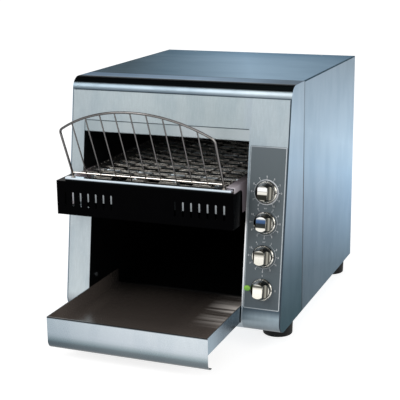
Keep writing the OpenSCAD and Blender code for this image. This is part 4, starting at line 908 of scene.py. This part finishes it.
def make_print():
    """Figures and ticks round three dials, O and I at the lowest one, and the thin curves."""
    build = Build()
    letters(build, DIAL_X, DIAL_LEVELS[0], "O", 0, ON_OFF_R, O_H)
    letters(build, DIAL_X, DIAL_LEVELS[0], "I", ON_OFF_R, 0, I_H)
    for dial, (start, first) in FIGURES.items():
        z = DIAL_LEVELS[dial]
        for k in range(11):
            a = math.radians(90 - start - FIGURE_STEP * k)
            u, v = FIGURE_R * math.cos(a), FIGURE_R * math.sin(a)
            mark(build, DIAL_X, z, spoke(TICK_R, a, TICK_LENGTH, TICK_W))
            if first + k < 11:
                letters(build, DIAL_X, z, str(first + k), u, v, FIGURE_H)
            else:
                mark(build, DIAL_X, z, disc(DOT_R, 12, u, v))
    # a pale printed ring beside the top dial that swells to the right, where it is a painted
    # highlight of the knob's rim
    mark(build, DIAL_X, DIAL_LEVELS[3], disc(RING_R), disc(RING_HOLE_R, u=RING_SHIFT))
    # OFF over the next two, and a thin curve on their right
    for dial in (1, 2):
        letters(build, DIAL_X, DIAL_LEVELS[dial], "OFF", 0, OFF_R, OFF_H)
        for k in range(CURVE_STEPS + 1):
            a, r = math.radians(CURVE_START - CURVE_TURN * k), CURVE_R - 0.03 * k
            wide = 0.15 + 0.25 * math.sin(math.pi * k / CURVE_STEPS)
            mark(build, DIAL_X, DIAL_LEVELS[dial], spoke(r, a, wide, CURVE_PIECE))
    return build


def make_border():
    """The border line of the overlay, with rounded corners, a painted highlight of its raised edge.
    """
    build = Build()
    w = OVERLAY_W - BORDER_INSET
    h = (OVERLAY_HIGH - OVERLAY_LOW) / math.cos(LEAN) - BORDER_INSET
    outlines = []
    for r in (BORDER_R, BORDER_R - BORDER_W):
        outlines.append([])
        for sx, sy, start in ((1, 1, 0), (-1, 1, 90), (-1, -1, 180), (1, -1, 270)):
            for q in range(6):
                a = math.radians(start + 90 * q / 5)
                outlines[-1].append((sx * (w / 2 - BORDER_R) + r * math.cos(a),
                                     sy * (h / 2 - BORDER_R) + r * math.sin(a)))
    mark(build, BORDER_X, (OVERLAY_LOW + OVERLAY_HIGH) / 2, *outlines)
    return build


piece("overlay_border", make_border(), "border", "chassis", smooth=False)
piece("overlay_print", make_print(), "print", "chassis", smooth=False)


# ---- floor, world and lamps ----

GAP_AZ = math.radians(42)           # the dark gap's middle, from straight in front to the right
GAP_START, GAP_FULL, GAP_LIGHT = 0.9, 0.96, 0.08    # its edges as cosines, and its light
WALL_TOP, DARKEST, DARKEST_LIGHT = 0.5, 0.68, 0.12  # the first two by the rise of a ray
MATT_LIGHT = 0.55                   # of the world, to matt surfaces
FLOOR_HALF, FLOOR_GREY = 12, 0.5
FLOOR_GLOW_MATT, FLOOR_GLOW_SEEN = 0.15, 0.8


def rays(graph, *kinds):
    """1 on rays of these kinds."""
    path = graph.node("LightPath").outputs
    total = path["Is %s Ray" % kinds[0]]
    for kind in kinds[1:]:
        total = graph.math("MAXIMUM", total, path["Is %s Ray" % kind])
    return total


def make_world():
    """White to the camera and soft to matt surfaces.

    To gloss: white walls with one dark gap, a dark band over them and white again overhead.
    """
    world = bpy.data.worlds.new("world")
    bpy.context.scene.world = world
    world.use_nodes = True
    graph = Graph(world.node_tree)
    sky = world.node_tree.nodes["Background"]
    sky.inputs["Color"].default_value = WHITE
    direction = graph.node("TexCoord").outputs["Generated"]
    split = graph.node("SeparateXYZ")
    graph.link(direction, split.inputs[0])
    walls = graph.ramp(split.outputs["Z"], [(0.0, WHITE), (WALL_TOP, WHITE),
                                            (DARKEST, tint(WHITE, DARKEST_LIGHT)), (1.0, WHITE)])
    gap = graph.along(direction, (math.sin(GAP_AZ), -math.cos(GAP_AZ), 0.0))
    walls = graph.math("MULTIPLY", walls, graph.spread(gap, GAP_START, GAP_FULL, 1.0, GAP_LIGHT))
    light = graph.blend(rays(graph, "Glossy"), MATT_LIGHT, walls)
    light = graph.blend(rays(graph, "Camera", "Transmission"), light, 1.0)
    graph.link(light, sky.inputs["Strength"])


def make_floor():
    """A floor that looks white, and so brighter to the camera than to the matt surfaces."""
    mesh = bpy.data.meshes.new("floor")
    s = FLOOR_HALF
    mesh.from_pydata([(-s, -s, 0), (s, -s, 0), (s, s, 0), (-s, s, 0)], [], [(0, 1, 2, 3)])
    obj = bpy.data.objects.new("floor", mesh)
    bpy.context.scene.collection.objects.link(obj)
    mat = bpy.data.materials.new("floor")
    mat.use_nodes = True
    graph = Graph(mat.node_tree)
    graph.tree.nodes.clear()
    matt = graph.node("BsdfDiffuse")
    matt.inputs["Color"].default_value = tint(WHITE, FLOOR_GREY)
    glow = graph.node("Emission")
    strength = graph.spread(rays(graph, "Camera", "Glossy", "Transmission"), 0, 1,
                            FLOOR_GLOW_MATT, FLOOR_GLOW_SEEN)
    graph.link(strength, glow.inputs["Strength"])
    both = graph.node("AddShader")
    graph.link(matt.outputs[0], both.inputs[0])
    graph.link(glow.outputs[0], both.inputs[1])
    graph.link(both.outputs[0], graph.node("OutputMaterial").inputs[0])
    mesh.materials.append(mat)


def lamp(name, where, aim, size, power):
    data = bpy.data.lights.new(name, "AREA")
    data.shape = "RECTANGLE"
    data.size, data.size_y = size
    data.energy = power
    obj = bpy.data.objects.new(name, data)
    bpy.context.scene.collection.objects.link(obj)
    obj.location = where
    obj.rotation_euler = (Vector(aim) - Vector(where)).to_track_quat("-Z", "Y").to_euler()


bpy.context.scene.view_settings.view_transform = "Standard"
make_world()
make_floor()
lamp("key", (-1.4, -2.2, 2.2), (0, 0, 0.15), (1.6, 1.6), 34)
lamp("fill", (2.4, -1.0, 1.6), (0, 0, 0.15), (1.4, 1.4), 14)
